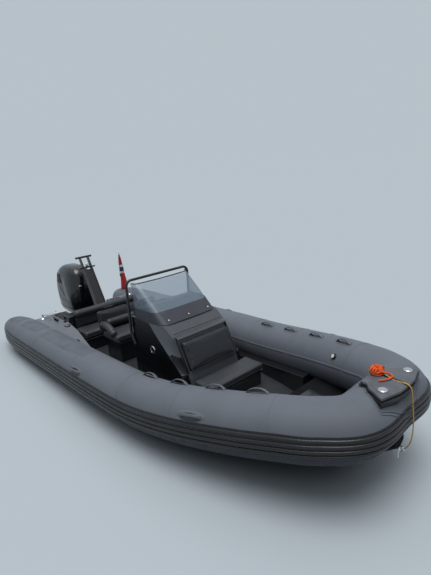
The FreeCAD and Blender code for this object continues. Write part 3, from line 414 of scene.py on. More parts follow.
def skin(t, degrees, lift=0.0, side=1.0):
    """A point on the tube's skin, degrees above its widest line."""
    centre, outward, up, _, radius = tube_frame(t)
    turn = math.radians(degrees)
    point = centre + (outward * math.cos(turn) + up * math.sin(turn)) * (radius + lift)
    return Vector((point.x, side * point.y, point.z))


def skin_foot(x, degrees):
    """Place on the skin at an x, with its normal, the tube's direction, its radius and its parameter."""
    t = station_at(x)
    centre, outward, up, along, radius = tube_frame(t)
    turn = math.radians(degrees)
    normal = outward * math.cos(turn) + up * math.sin(turn)
    return centre + normal * radius, normal, along, radius, t


def skin_ring(t, lift=0.0, side=1.0):
    return [skin(t, 360.0 * k / RING_SIDES, lift, side) for k in range(RING_SIDES)]


def station_at(x):
    """The line's parameter at a place along the boat."""
    low = 0.0
    high = float(BOW_END)
    for _ in range(30):
        middle = 0.5 * (low + high)
        if smooth_row(middle)[0] < x:
            low = middle
        else:
            high = middle
    return 0.5 * (low + high)


def per_metre(t):
    """Change of the line's parameter for each metre along the boat."""
    return 1.0 / (smooth_row(t + 0.5)[0] - smooth_row(t - 0.5)[0])


def make_tubes():
    tail_cap = 0.030
    for name, side in SIDES:
        for part, first, last in (("aft", 0, AFT_END), ("fore", AFT_END, FORE_END)):
            rings = [skin_ring(t, side=side) for t in span(first, last, (last - first) * STEPS_PER_STATION)]
            if part == "aft":
                centre, _, _, along, _ = tube_frame(0.0)
                middle = Vector((centre.x, side * centre.y, centre.z))
                end = rings[0]
                for place, (share, back) in enumerate(((0.0, 0.9), (0.5, 0.8), (0.8, 0.5))):
                    rings.insert(place, [middle + (point - middle) * share - along * tail_cap * back * 0.5
                                         for point in end])
            shape = Mesh()
            shape.rings(rings, caps=False)
            piece = shape.build("tube_%s_%s_skin" % (name, part), "tube_fabric", sharp=60.0)
            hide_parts("tube_%s_%s" % (name, part))
    rings = [skin_ring(t) for t in span(FORE_END, BOW_END, (BOW_END - FORE_END) * STEPS_PER_STATION)]
    shape = Mesh()
    shape.rings(rings + mirrored(rings), caps=False)
    piece = shape.build("tube_bow_skin", "tube_fabric", sharp=60.0)
    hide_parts("tube_bow")


def skin_patch(shape, x0, x1, low, high):
    """A flat sheet glued on the skin; its lower edge, in degrees, rises towards the fore end."""
    steps = 24
    rows = 10
    rings = []
    for i, t in enumerate(span(station_at(x0), station_at(x1), steps)):
        edge = low + 10.0 * (i / steps) ** 4
        rings.append([skin(t, edge + (high - edge) * k / rows,
                           0.0003 if k in (0, rows) or i in (0, steps) else 0.0022) for k in range(rows + 1)])
    shape.rings(rings, closed=False, caps=False)


def make_tube_details():
    """Seams round the tubes, the long seam inside and the wear patches."""
    half = 0.016
    lift = 0.0016
    band = ((-half, 0.0), (-half, lift), (half, lift), (half, 0.0))
    seams = Mesh()
    for x in (-2.62, -1.62, -0.55, 0.42, 1.12, 1.95):
        t = station_at(x)
        seams.rings([skin_ring(t + offset * per_metre(t), height) for offset, height in band], caps=False)
    # The long seam inside: degrees and height across it
    inner = ((166.0, 0.0), (166.4, lift), (171.6, lift), (172.0, 0.0))
    seams.rings([[skin(t, degrees, height) for degrees, height in inner]
                 for t in span(station_at(-2.4), BOW_END, 110)], closed=False, caps=False)
    seams.mirror()
    seams.build("tube_seams", "tube_fabric", sharp=60.0)
    patches = Mesh()
    # x of the aft and fore ends, degrees of the outer and inner edges
    for row in ((-1.62, -0.42, 62.0, 112.0), (-2.30, -1.74, 62.0, 118.0), (-2.86, -2.42, 58.0, 122.0)):
        skin_patch(patches, *row)
    patches.mirror()
    patches.build("wear_patches", "patch_fabric", sharp=60.0)


def strake_profile():
    """Angle in degrees and lift of each point across the rub band: rounded ribs and an edge line."""
    low = -16.0
    ribs = 4
    pitch = 9.6
    half = 0.375 * pitch
    base = 0.002
    rise = 0.015
    edge_half = 0.9
    edge_rise = 0.006
    profile = [(low - 0.6, 0.0003)]
    for rib in range(ribs):
        centre = low + half + rib * pitch
        for share in (-1.0, -0.9, -0.62, -0.3, 0.0, 0.3, 0.62, 0.9, 1.0):
            lift = base + (rise - base) * math.sqrt(max(0.0, 1.0 - share * share))
            profile.append((centre + share * half, lift))
    top = low + 2.0 * half + (ribs - 1) * pitch + 1.6
    return profile + [(top, base), (top + 0.3 * edge_half, edge_rise), (top + 1.7 * edge_half, edge_rise),
                      (top + 2.0 * edge_half, 0.0003)]


def make_strakes():
    profile = strake_profile()

    def band(first, side=1.0, last=FORE_END):
        return [[skin(t, d, lift, side) for d, lift in profile]
                for t in span(first, last, int((last - first) * STEPS_PER_STATION))]
    bow = band(FORE_END, last=BOW_END)
    rows = [(name, band(2.0, side), True) for name, side in SIDES] + [("bow", bow + mirrored(bow), False)]
    for name, rings, caps in rows:
        shape = Mesh()
        shape.rings(rings, closed=False, caps=caps)
        piece = shape.build("strake_%s_ribs" % name, "strake_rubber", sharp=50.0)
        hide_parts("rub_strake_" + name)


# Handles: node, places along the boat, degrees, length and height
HANDLES = (("grab_handles", (0.630, 1.030, 1.430, 1.810), 105.0, 0.190, 0.041),
           ("carry_handles", (-0.380, 1.350), 34.0, 0.205, 0.044))


def handle(shape, patches, strap_shadows, x, degrees, length, height, width):
    """An arched strap on an oval patch, with a black oval under it that is painted shadow of the strap."""
    foot, normal, along, radius, t = skin_foot(x, degrees)
    across = normal.cross(along)
    strap = 0.009
    rise = height - strap * 0.5
    rings = []
    for share in span(-1.0, 1.0, 18):
        slope = -rise * 2.6 * abs(share) ** 1.6 * math.copysign(1.0, share) / (length * 0.5)
        out = across.cross((along + normal * slope).normalized())
        if out.dot(normal) < 0.0:
            out = -out
        middle = foot + along * (share * length * 0.5) + normal * (rise * (1.0 - abs(share) ** 2.6) + 0.004)
        half_width = width * (0.42 + 0.16 * abs(share) ** 3)
        rings.append([middle + across * half_width * math.copysign(abs(c) ** 0.6, c)
                      + out * strap * 0.5 * math.copysign(abs(s) ** 0.8, s) for c, s in circle(12)])
    shape.rings(rings)
    half_angle = math.degrees(width * 1.25 / radius)
    # Patch and painted shadow under the strap are ovals that follow the skin: half length, half angle, share
    # and lift of each ring
    ovals = ((patches, length * 0.66, half_angle,
              ((1.0, 0.0002), (0.95, 0.0024), (0.6, 0.0026), (0.25, 0.0026), (0.02, 0.0026))),
             (strap_shadows, length * 0.43, half_angle * 0.5,
              ((1.0, 0.0026), (0.97, 0.0042), (0.5, 0.0042), (0.02, 0.0042))))
    for target, half_length, half_turn, rows in ovals:
        target.rings([[skin(t + c * half_length * share * per_metre(t), degrees + s * half_turn * share, lift)
                       for c, s in circle(36)] for share, lift in rows], caps=False)


def make_handles():
    patches = Mesh()
    strap_shadows = Mesh()
    for node, places, degrees, length, height in HANDLES:
        shape = Mesh()
        for x in places:
            handle(shape, patches, strap_shadows, x, degrees, length, height, 0.030)
        shape.mirror()
        piece = shape.build(node + "_straps", "handle_rubber", sharp=50.0)
        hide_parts(node)
    patches.mirror()
    patches.build("handle_patches", "tube_fabric", sharp=60.0)
    # Black ovals under the straps: painted shadow
    strap_shadows.mirror()
    strap_shadows.build("handle_strap_shadows", "strake_rubber", sharp=60.0)


def make_valves():
    rims = Mesh()
    caps = Mesh()
    for x in (-1.2, 1.82):
        foot, normal, _, _, _ = skin_foot(x, 146.0)
        rims.lathe(foot, normal, [(0.030, -0.003), (0.030, 0.003), (0.026, 0.006), (0.0225, 0.006),
                                  (0.0222, 0.017), (0.020, 0.0195)])
        # White disc on top of each cap: a painted highlight where the cap catches the light
        caps.lathe(foot, normal, [(0.0185, 0.0185), (0.0185, 0.0198), (0.012, 0.0202)])
        side = normal.orthogonal().normalized()
        # Ridges round the rim for the fingers
        for place in ring_round(foot, side, normal.cross(side), 0.0225, 14):
            rims.sweep([place + normal * 0.008, place + normal * 0.017], 0.0016, 6)
    rims.mirror()
    caps.mirror()
    piece = rims.build("inflation_valve_rims", "black_fittings")
    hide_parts("inflation_valves")
    caps.build("inflation_valve_cap_glints", "white_light")


# Bow pad: half of its outline, the point that it grows from, and its heights
PAD_HALF = [(2.345, 0.150), (2.400, 0.160), (2.440, 0.210), (2.580, 0.290), (2.628, 0.120), (2.634, 0.0)]
PAD_MIDDLE = 2.430
PAD_TOP = 0.952
PAD_UNDER = 0.912


def pad_points(grow, z):
    """Half of the pad's outline, moved out by a distance."""
    points = []
    for x, y in PAD_HALF:
        reach = math.hypot(x - PAD_MIDDLE, y)
        points.append(Vector((x + grow * (x - PAD_MIDDLE) / reach, y + grow * y / reach, z)))
    return points


def pad_ring(grow, z):
    points = pad_points(grow, z)
    return points + [Vector((p.x, -p.y, p.z)) for p in reversed(points[:-1])]


def half_pad_ring(grow, z, inner):
    """One half of the pad, from the groove outwards."""
    points = [Vector((p.x, max(inner, p.y), p.z)) for p in pad_points(grow, z)]
    return points + [Vector((points[0].x, inner, z))]


def make_bow_pad():
    groove = 0.013
    rows = ((-0.010, PAD_UNDER + 0.001), (0.0, PAD_UNDER + 0.010), (-0.004, PAD_TOP - 0.016),
            (-0.050, PAD_TOP - 0.002), (-0.078, PAD_TOP - 0.002), (-0.084, PAD_TOP))
    shape = Mesh()
    shape.rings([half_pad_ring(grow, z, groove) for grow, z in rows])
    shape.mirror()
    floor = Mesh()
    floor.rings([pad_ring(-0.003, PAD_UNDER + 0.0005), pad_ring(-0.003, PAD_TOP - 0.018)])
    top = shape.build("bow_step_pad", "step_pad", bevel=0.004, sharp=12.0)
    floor.build("bow_pad_groove", "black_fittings", bevel=0.002)
    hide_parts("bow_pad")
    softened_copy("bow_pad_base", 0.006, "strake_rubber")
    piece = turned("bow_cleat_discs", "stainless", [(2.540, y, PAD_TOP) for y in (-0.195, 0.195)], (0, 0, 1),
                   [(0.0335, -0.004), (0.0335, 0.003), (0.0300, 0.0060), (0.0190, 0.0060), (0.0175, 0.0040),
                    (0.0165, 0.0062), (0.004, 0.0068)], 32, sharp=30.0)
    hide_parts("bow_cleats")


def surface_tree(piece):
    return BVHTree.FromObject(piece, bpy.context.evaluated_depsgraph_get())


def make_flange():
    """A moulded double lip on the tube round the pad's base, laid on the tube from above."""
    tube = surface_tree(bpy.data.objects["tube_bow_skin"])
    above = 1.2
    lowest = 0.700
    lip = Mesh()
    for grow in (0.013, 0.029):
        corners = pad_ring(grow, above)[1:-1]
        path = []
        for a, b in zip(corners, corners[1:]):
            count = max(1, int((b - a).length / 0.012))
            for k in range(count):
                place, normal, _, _ = tube.ray_cast(a + (b - a) * k / count, Vector((0, 0, -1)))
                if place and place.z > lowest:
                    path.append(place + normal * 0.001)
        for _ in range(3):
            middle = [(a + b * 2.0 + c) / 4.0 for a, b, c in zip(path, path[1:], path[2:])]
            path = path[:1] + middle + path[-1:]
        lip.sweep(path, 0.0042, 8)
    lip.build("bow_seam_lip", "tube_fabric", sharp=60.0)


# Soft seats
SWELL_FRAMES = 16
SWELL_ROOM = 0.008
SWELL_PRESSURE = 5.0
REMESH_SIZE = 0.012


def swell(piece, cap):
    """Cloth under pressure, with a limit on how far each point moves."""
    scene = bpy.context.scene
    start = [v.co.copy() for v in piece.data.vertices]
    cloth = piece.modifiers.new("swell", "CLOTH")
    cloth.settings.use_pressure = True
    cloth.settings.uniform_pressure_force = SWELL_PRESSURE
    cloth.settings.effector_weights.gravity = 0.0
    cloth.settings.quality = 4
    cloth.settings.tension_stiffness = 12.0
    cloth.settings.bending_stiffness = 1.2
    cloth.point_cache.frame_start = 1
    cloth.point_cache.frame_end = SWELL_FRAMES
    for number in range(1, SWELL_FRAMES + 1):
        scene.frame_set(number)
    mesh = evaluated_mesh(piece)
    piece.modifiers.clear()
    scene.frame_set(1)
    for vertex, old in zip(mesh.vertices, start):
        move = vertex.co - old
        if move.length > cap:
            vertex.co = old + move.normalized() * cap
    old_mesh = piece.data
    piece.data = mesh
    bpy.data.meshes.remove(old_mesh)


def cushion(node, corners, inset=SWELL_ROOM, material="vinyl", round_by=0.028, cap=0.012, channels=(),
            flat_below=None):
    """A stuffed cushion: remeshed, blown up as cloth, then sewn channels pressed in.
    A channel is (axis, place, half width, depth)."""
    corners = [Vector(c) for c in corners]
    middle = sum(corners, Vector()) / 8.0
    shape = Mesh()
    shape.block([[c[k] - math.copysign(inset, c[k] - middle[k]) for k in range(3)] for c in corners])
    piece = shape.build(node + "_pad", material)
    edge = piece.modifiers.new("round", "BEVEL")
    edge.width = round_by
    edge.segments = 4
    edge.limit_method = "NONE"
    remesh = piece.modifiers.new("remesh", "REMESH")
    remesh.mode = "VOXEL"
    remesh.voxel_size = REMESH_SIZE
    mesh = evaluated_mesh(piece)
    piece.modifiers.clear()
    piece.data = mesh
    swell(piece, cap)
    for axis, place, half, depth in channels:
        for vertex in piece.data.vertices:
            away = (vertex.co[axis] - place) / half
            if abs(away) < 3.0:
                vertex.co -= vertex.normal * (depth * math.exp(-away * away))
    if flat_below is not None:
        for vertex in piece.data.vertices:
            vertex.co.z = max(vertex.co.z, flat_below)
    piece.data.materials.clear()
    piece.data.materials.append(MATERIALS[material])
    smooth = piece.modifiers.new("smooth", "SUBSURF")
    smooth.levels = 1
    smooth.render_levels = 1
    piece.data.shade_smooth()
    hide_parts(node)
    return piece


def piping(name, piece, path, radius=0.0045, material="vinyl_dark", body="root"):
    """A cord sewn in the seam: the path is laid on the cushion's surface."""
    tree = surface_tree(piece)
    points = []
    for point in path:
        place, normal, _, _ = tree.find_nearest(Vector(point))
        points.append(place + normal * radius * 0.3)
    shape = Mesh()
    shape.sweep(points, radius, 8, closed=True)
    return shape.build(name, material, body, slot="vinyl")


def rounded_loop(us, vs, inset, radius, place):
    """A closed loop with round corners inside two ranges; place turns (u, v) into a point."""
    per_corner = 6
    u0, u1 = us[0] + inset + radius, us[1] - inset - radius
    v0, v1 = vs[0] + inset + radius, vs[1] - inset - radius
    points = []
    for u, v, first in ((u1, v1, 0.0), (u0, v1, 90.0), (u0, v0, 180.0), (u1, v0, 270.0)):
        for k in range(per_corner + 1):
            a = math.radians(first + 90.0 * k / per_corner)
            points.append((u + radius * math.cos(a), v + radius * math.sin(a)))
    filled = []
    for a, b in zip(points, points[1:] + points[:1]):
        count = max(1, int(math.hypot(b[0] - a[0], b[1] - a[1]) / 0.03))
        filled += [place(a[0] + (b[0] - a[0]) * k / count, a[1] + (b[1] - a[1]) * k / count)
                   for k in range(count)]
    return filled


def make_flat_cushions():
    # Node, body, places of the sewn channels across the boat
    rows = (("bench_cushion", "root", (-0.185, 0.185)), ("helm_seat_cushion", "root", (0.0,)),
            ("front_seat_cushion", "front_seat_lid", ()))
    for node, body, seams in rows:
        low, high = node_box(node)
        corners = block_corners((low.x, high.x), (low.y, high.y), (low.z, high.z))
        channels = [(1, y, 0.010, 0.008) for y in seams]
        piece = cushion(node, corners, channels=channels, flat_below=low.z + 0.001)
        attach(piece, body)
        for name, inset, z in (("_piping", 0.016, high.z - 0.012), ("_lower_piping", 0.006, low.z + 0.020)):
            loop = rounded_loop((low.x, high.x), (low.y, high.y), inset, 0.05, lambda u, v, z=z: (u, v, z))
            piping(node + name, piece, loop, body=body)


def make_bench_back():
    low, high = node_box("bench_back")
    corners = block_corners((low.x, high.x), (low.y, high.y), (low.z, high.z))
    piece = cushion("bench_back", corners, channels=[(1, -0.165, 0.010, 0.007), (1, 0.165, 0.010, 0.007),
                                                     (2, high.z - 0.100, 0.008, 0.006)])
    loop = rounded_loop((low.y, high.y), (low.z, high.z), 0.014, 0.06, lambda u, v: (high.x - 0.008, u, v))
    piping("bench_back_piping", piece, loop)


def make_helm_backrest():
    """A block that leans back."""
    low, high = node_box("helm_backrest")
    lean = 0.035
    ends = {low.z: (low.x + 0.020, high.x), high.z: (low.x, high.x - lean)}
    piece = cushion("helm_backrest", block_corners(ends.get, (low.y, high.y), (low.z, high.z)),
                    channels=[(1, 0.0, 0.012, 0.009), (2, low.z + 0.135, 0.012, 0.008)])

    def front(u, v):
        return high.x - 0.012 - lean * (v - low.z) / (high.z - low.z), u, v
    loop = rounded_loop((low.y, high.y), (low.z + 0.002, high.z), 0.014, 0.06, front)
    piping("helm_backrest_piping", piece, loop)


def make_console_backrest():
    """The cushion on the console's sloping front."""
    low, high = node_box("console_backrest")
    thick = 0.055

    def face_x(z, out):
        return 0.545 - (0.545 - 0.385) / (0.760 - 0.430) * (z - 0.430) + out
    corners = block_corners(lambda z: (face_x(z, 0.001), face_x(z, thick)), (low.y, high.y), (low.z, high.z))
    piece = cushion("console_backrest", corners, 0.006, "vinyl_dark", 0.022, 0.010)
    # Name, inset, corner radius, place before the face and the cord's radius
    for name, inset, corner, out, radius in (("piping", 0.012, 0.045, -0.008, 0.0045),
                                             ("stitch", 0.045, 0.04, 0.004, 0.0018)):
        loop = rounded_loop((low.y, high.y), (low.z, high.z), inset, corner,
                            lambda u, v, out=out: (face_x(v, thick + out), u, v))
        piping("console_backrest_" + name, piece, loop, radius, "vinyl")


def bolster(name, path, radius):
    """A stuffed roll with round ends and a piped seam near each end."""
    if len(path) > 2:
        path = nurbs_line(name + "_route", path, 6)
    else:
        first, last = (Vector(p) for p in path)
        path = [first + (last - first) * share for share in span(0.0, 1.0, 40)]
    total = sum((b - a).length for a, b in zip(path, path[1:]))
    travelled = 0.0
    radii = []
    for i, point in enumerate(path):
        travelled += (point - path[max(0, i - 1)]).length
        end = min(travelled, total - travelled)
        radii.append(radius * math.sqrt(max(0.02, 1.0 - max(0.0, 1.0 - end / (radius * 0.8)) ** 2)))
    shape = Mesh()
    shape.sweep(path, radii, 24)
    piece = shape.build(name, "vinyl", sharp=60.0)
    rings = Mesh()
    for index in (4, len(path) - 5):
        along = (path[index + 1] - path[index - 1]).normalized()
        side = along.orthogonal().normalized()
        rings.sweep(ring_round(path[index], side, along.cross(side), radii[index], 28), 0.003, 6, closed=True)
    rings.build(name + "_piping", "vinyl_dark", slot="vinyl")


def make_bolsters():
    """Top roll of the bench back, with its bare tag, and the helm seat's low roll and side bolsters."""
    low, high = node_box("bench_back")
    roll = 0.054
    x = low.x + 0.050
    z = high.z - roll + 0.008
    bolster("bench_back_roll", [(x, low.y + 0.004, z), (x, high.y - 0.004, z)], roll)
    reach = {high.z - roll - 0.004: roll + 0.0015, high.z - roll + 0.014: roll + 0.0005}
    tag = Mesh()
    tag.block(block_corners(lambda level: (x + (reach[level] - 0.004), x + reach[level]),
                            (-0.075, 0.075), reach))
    tag.build("bench_back_tag", "patch_fabric", bevel=0.001)
    low, high = node_box("helm_backrest")
    front = high.x
    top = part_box("helm_seat_cushion")[1][2]
    bolster("helm_back_roll", [(front + 0.016, low.y + 0.085, top + 0.075),
                               (front + 0.016, high.y - 0.085, top + 0.075)], 0.048)
    for name, side in SIDES:
        bolster("helm_side_bolster_" + name,
                [(front + out, side * (high.y - 0.040), top + rise) for out, rise in
                 ((-0.010, 0.070), (0.070, 0.082), (0.160, 0.064), (0.240, 0.026), (0.300, -0.010))], 0.046)


# Console: the height of the seam under the screen, its half width, and x of the front at three heights
SEAM_Z = 0.880
CONSOLE_HALF = 0.420
CONSOLE_FRONT = ((0.430, 0.545), (0.760, 0.385), (SEAM_Z, 0.215))
# Above this height the console's slanted corners take a lighter colour as painted sky reflection; below it
# they take the near-black painted shade
PAINTED_LIGHT_SPLIT_Z = 0.600


def on_front(inner, outer):
    """Ends of a block that lies on the console's front, at a height."""
    def ends(z):
        (z0, x0), (z1, x1) = CONSOLE_FRONT[:2] if z <= CONSOLE_FRONT[1][0] else CONSOLE_FRONT[1:]
        x = x0 + (x1 - x0) * (z - z0) / (z1 - z0)
        return x + inner, x + outer
    return ends


def make_console():
    mesh = softened_copy("console", 0.016, "console_grey", 3).data
    mesh.materials.append(MATERIALS["console_painted_shade"])
    mesh.materials.append(MATERIALS["console_painted_sky_reflection"])
    # Upright sides and low slanted corners get the painted shade, higher slanted corners the painted sky
    # reflection, the rest the console's grey
    for face in mesh.polygons:
        slant = abs(face.normal.y)
        in_painted_shade = slant > 0.985 or slant > 0.3 and face.center.z < PAINTED_LIGHT_SPLIT_Z
        face.material_index = 1 if in_painted_shade else 2 if slant > 0.3 else 0
    softened_copy("dash", 0.012)
    # Lip over the backrest, its two side cheeks and the raised panel above it
    sunk = -0.004
    half = 0.352
    lip_z = 0.775
    lip = Mesh()
    lip.block(block_corners(on_front(sunk, 0.060), (-half, half), (lip_z + 0.002, lip_z + 0.016)))
    lip.build("console_front_lip", "console_grey", bevel=0.004, slot="gloss_black")
    cheek_inner = 0.3395
    cheeks = Mesh()
    for ys in ((-half, -cheek_inner), (cheek_inner, half)):
        cheeks.block(block_corners(on_front(sunk, 0.030), ys, (0.440, 0.768)))
    cheeks.build("console_front_cheeks", "gloss_black", bevel=0.004)
    # Half width of the panel at its lower and upper edge
    panel_half = 0.335
    halves = {0.806: panel_half, 0.868: panel_half * 0.96}
    panel = Mesh()
    panel.block(block_corners(on_front(sunk, 0.008), lambda z: (-halves[z], halves[z]), halves))
    panel.build("console_upper_panel", "console_grey", bevel=0.004, slot="gloss_black")
    # Round vent on each side: radius of its opening and pitch of its louvres
    opening = 0.031
    pitch = 0.011
    rings = Mesh()
    louvres = Mesh()
    for side in (-1.0, 1.0):
        at = Vector((0.040, side * CONSOLE_HALF, 0.580))
        rings.lathe(at, (0, side, 0), [(0.044, -0.002), (0.044, 0.004), (0.040, 0.009), (0.033, 0.009),
                                       (opening, 0.003), (opening, -0.001)], 32)
        for k in range(-2, 3):
            z = at.z + k * pitch
            reach = math.sqrt(opening ** 2 - (k * pitch) ** 2)
            louvres.block(block_corners((at.x - reach, at.x + reach),
                                        (at.y - side * 0.002, at.y + side * 0.006), (z - 0.002, z + 0.002)))
    rings.build("console_vent_rings", "stainless")
    louvres.build("console_vent_louvres", "black_fittings", bevel=0.0008)


def screen_edge(front, aft, radius, crown):
    """Half of an edge of the screen, from its aft end round the front corner to the middle."""
    steps = 14
    fx, fy = front
    ax, ay = aft
    points = [(ax + (fx - radius - ax) * k / steps, ay + (fy - ay) * k / steps) for k in range(steps)]
    for k in range(steps + 1):
        a = math.radians(90.0 * (1.0 - k / steps))
        points.append((fx - radius + radius * math.cos(a), fy - radius + radius * math.sin(a)))
    for k in range(1, steps + 1):
        y = (fy - radius) * (1.0 - k / steps)
        points.append((fx + crown * (1.0 - (y / (fy - radius)) ** 2), y))
    return points


def make_screen():
    # Lower and upper edge: front corner, aft end, corner radius and crown
    lower = screen_edge((0.213, 0.384), (-0.262, 0.409), 0.100, 0.004)
    upper = screen_edge((-0.262, 0.380), (-0.325, 0.393), 0.058, 0.014)
    base_z = SEAM_Z + 0.001
    top_z = 1.260
    thick = 0.006
    pairs = list(zip(lower, upper))
    pairs += [((a[0], -a[1]), (b[0], -b[1])) for a, b in reversed(pairs[:-1])]

    def at(pair, share, inward=0.0):
        (lx, ly), (ux, uy) = pair
        x = lx + (ux - lx) * share + 0.010 * math.sin(math.pi * share)
        y = ly + (uy - ly) * share
        away = (Vector((x, y)) - Vector((-0.12, 0.0))).normalized()
        return Vector((x - away.x * inward, y - away.y * inward, base_z + (top_z - base_z) * share))

    def sheet(high, outside, inside, rows):
        shares = span(0.0, high, rows)
        shape = Mesh()
        shape.rings([[at(pair, share, -outside) for share in shares]
                     + [at(pair, share, inside) for share in reversed(shares)] for pair in pairs])
        return shape

    def trim(share, inward, rise, radius, name, material):
        shape = Mesh()
        shape.sweep([at(pair, share, inward) + Vector((0, 0, rise)) for pair in pairs], radius, 8)
        shape.build(name, material)
    # The pane's pale blue is partly its own tint and partly painted sky reflection
    piece = sheet(1.0, 0.0, thick, 12).build("windscreen_pane", "smoked_screen", sharp=40.0)
    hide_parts("windscreen")
    sheet(0.30, 0.005, -0.0005, 4).build("windscreen_band", "screen_band", bevel=0.002, sharp=40.0,
                                         slot="gloss_black")
    trim(1.0, thick / 2.0, 0.001, 0.006, "windscreen_top_trim", "black_rail")
    trim(0.0, -0.006, 0.0, 0.007, "windscreen_foot_seal", "black_fittings")
    # Bolts low on the band, at shares of the way round
    bolts = Mesh()
    for share in (0.345, 0.5, 0.655):
        place = int(share * (len(pairs) - 1))
        pair = pairs[place]
        across = (at(pairs[place + 1], 0.17) - at(pair, 0.17)).normalized()
        normal = across.cross((at(pair, 0.27) - at(pair, 0.07)).normalized())
        if normal.x < 0.0:
            normal = -normal
        bolts.lathe(at(pair, 0.085, -0.006), normal,
                    [(0.0085, -0.002), (0.0085, 0.002), (0.006, 0.0045), (0.002, 0.0055)], 16)
    bolts.build("windscreen_bolts", "stainless")


def make_dash():
    """Gauges, display and switches on the slope behind the screen."""
    low = Vector((-0.300, 0, 0.880))
    high = Vector((-0.225, 0, 1.010))
    rise = (high - low).normalized()
    normal = Vector((-rise.z, 0, rise.x))

    def on_slope(share, y):
        return low + (high - low) * share + Vector((0, y, 0))
    bezels = Mesh()
    faces = Mesh()
    for y, radius in ((0.10, 0.042), (0.205, 0.042), (-0.245, 0.030)):
        bezels.lathe(on_slope(0.55, y), normal, [(radius + 0.006, -0.001), (radius + 0.005, 0.006),
                                                 (radius, 0.008), (radius - 0.002, 0.004)], 32)
        faces.lathe(on_slope(0.55, y), normal, [(radius - 0.002, 0.001), (radius - 0.002, 0.0045),
                                                (0.002, 0.006)], 32)
    for shape, grow, out in ((bezels, 1.08, 0.016), (faces, 0.94, 0.0175)):
        shape.slab(on_slope(0.62, -0.10), Vector((0, 0.085, 0)) * grow, rise * 0.050 * grow, normal,
                   -0.002, out)
    switches = Mesh()
    for k in range(4):
        switches.slab(on_slope(0.12, 0.02 + 0.04 * k), Vector((0, 0.012, 0)), rise * 0.009, normal,
                      -0.001, 0.007)
    bezels.build("dash_bezels", "black_fittings", bevel=0.001)
    faces.build("dash_faces", "gauge_glass")
    switches.build("dash_switches", "wheel_rim", bevel=0.0015)


# Cowl of the outboard engine: z, shift of the middle, half length and half width of each section
COWL_X = -2.680
COWL = [Vector((z, COWL_X + shift, half_length, half_width)) for z, shift, half_length, half_width in (
    (0.320, 0.000, 0.262, 0.160), (0.360, 0.000, 0.315, 0.190), (0.410, 0.000, 0.345, 0.207),
    (0.530, 0.000, 0.362, 0.216), (0.650, 0.000, 0.370, 0.220), (0.770, 0.002, 0.368, 0.218),
    (0.850, 0.005, 0.358, 0.211), (0.920, 0.008, 0.338, 0.199), (0.980, 0.012, 0.306, 0.179),
    (1.020, 0.016, 0.264, 0.152), (1.050, 0.020, 0.214, 0.118), (1.068, 0.022, 0.140, 0.074),
    (1.074, 0.022, 0.060, 0.030))]
COWL_SIDES = 96
COWL_POWER = 3.0


def cowl_row(z):
    last = len(COWL) - 1
    i = next((i for i in range(last) if z <= COWL[i + 1][0]), last - 1)
    rows = [COWL[max(0, min(last, i + k))] for k in (-1, 0, 1, 2)]
    return smooth_between(*rows, (z - rows[1][0]) / (rows[2][0] - rows[1][0]))


def clamped(value):
    return max(0.0, min(1.0, value))


def relief(point):
    """The point moved for the cowl's creases: a raised middle in front, and a hollow on each cheek."""
    z = point.z
    out = Vector((point.x - COWL_X, point.y * 1.6, 0.0)).normalized()
    if point.x > COWL_X and z > 0.49:
        rise = clamped((0.118 - abs(point.y)) / 0.012) * clamped((z - 0.49) / 0.05)
        point = point + out * 0.007 * rise * clamped((point.x - COWL_X) / 0.1)
    if 0.51 < z < 0.91 and abs(point.x - COWL_X + 0.06) < 0.26:
        across = abs(point.x - (COWL_X - 0.06 + 0.35 * (0.71 - z))) / 0.16
        tall = abs(z - 0.71) / 0.18
        depth = max(0.0, 1.0 - max(across, tall) ** 4)
        point = point - out * 0.009 * min(1.0, depth * 2.0)
    return point


def cowl_ring(z, grow):
    _, middle, a, b = cowl_row(z)
    ring = []
    for c, s in circle(COWL_SIDES):
        size = (abs(c) ** COWL_POWER + abs(s) ** COWL_POWER) ** (-1.0 / COWL_POWER)
        ring.append(relief(Vector((middle + (a + grow) * c * size, (b + grow) * s * size, z))))
    return ring


def cowl_point(x, side, z, lift):
    """A point on the cowl's side at a place along it."""
    _, middle, a, b = cowl_row(z)
    share = min(0.999, abs((x - middle) / a))
    point = relief(Vector((x, b * (1.0 - share ** COWL_POWER) ** (1.0 / COWL_POWER), z)))
    return Vector((point.x, side * (point.y + lift), point.z))


def make_cowl():
    split = 0.435
    split_half = 0.004
    heights = span(0.320, split - split_half, 8) + [split - split_half * 0.6, split + split_half * 0.6]
    heights += span(split + split_half, 1.040, 40) + span(1.046, 1.0735, 6)
    shape = Mesh()
    shape.rings([cowl_ring(z, -0.006 if abs(z - split) < split_half * 0.8 else 0.0) for z in heights])
    piece = shape.build("cowl_shell", "cowl_gloss", "engine", sharp=28.0)
    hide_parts("cowl")
    # Dark air inlets high on both sides of the back, and a bare flash on each cheek
    inlets = Mesh()
    flash = Mesh()
    for side in (-1.0, 1.0):
        inlets.rings([[cowl_point(x - 0.35 * (z - 0.80), side, z, 0.0022) for x in span(-2.90, -2.70, 10)]
                      for z in span(0.800, 0.940, 8)], closed=False, caps=False)
        flash.rings([[cowl_point(-2.86 + 0.20 * f, side, 0.79 - 0.16 * f + dz, 0.0014)
                      for dz in (-0.010 - 0.012 * f, 0.0, 0.010 + 0.010 * (1 - f))]
                     for f in span(0.0, 1.0, 20)], closed=False, caps=False)
    inlets.build("cowl_inlets", "grille", "engine", slot="cowl_gloss")
    flash.build("cowl_side_flash", "engine_block", "engine", slot="cowl_gloss")
    turned("cowl_front_cap", "stainless", [(-2.3165, -0.090, 0.800)], (1, -0.1, 0.05),
           [(0.020, -0.004), (0.020, 0.004), (0.014, 0.008), (0.003, 0.009)],
           body="engine", slot="cowl_gloss")


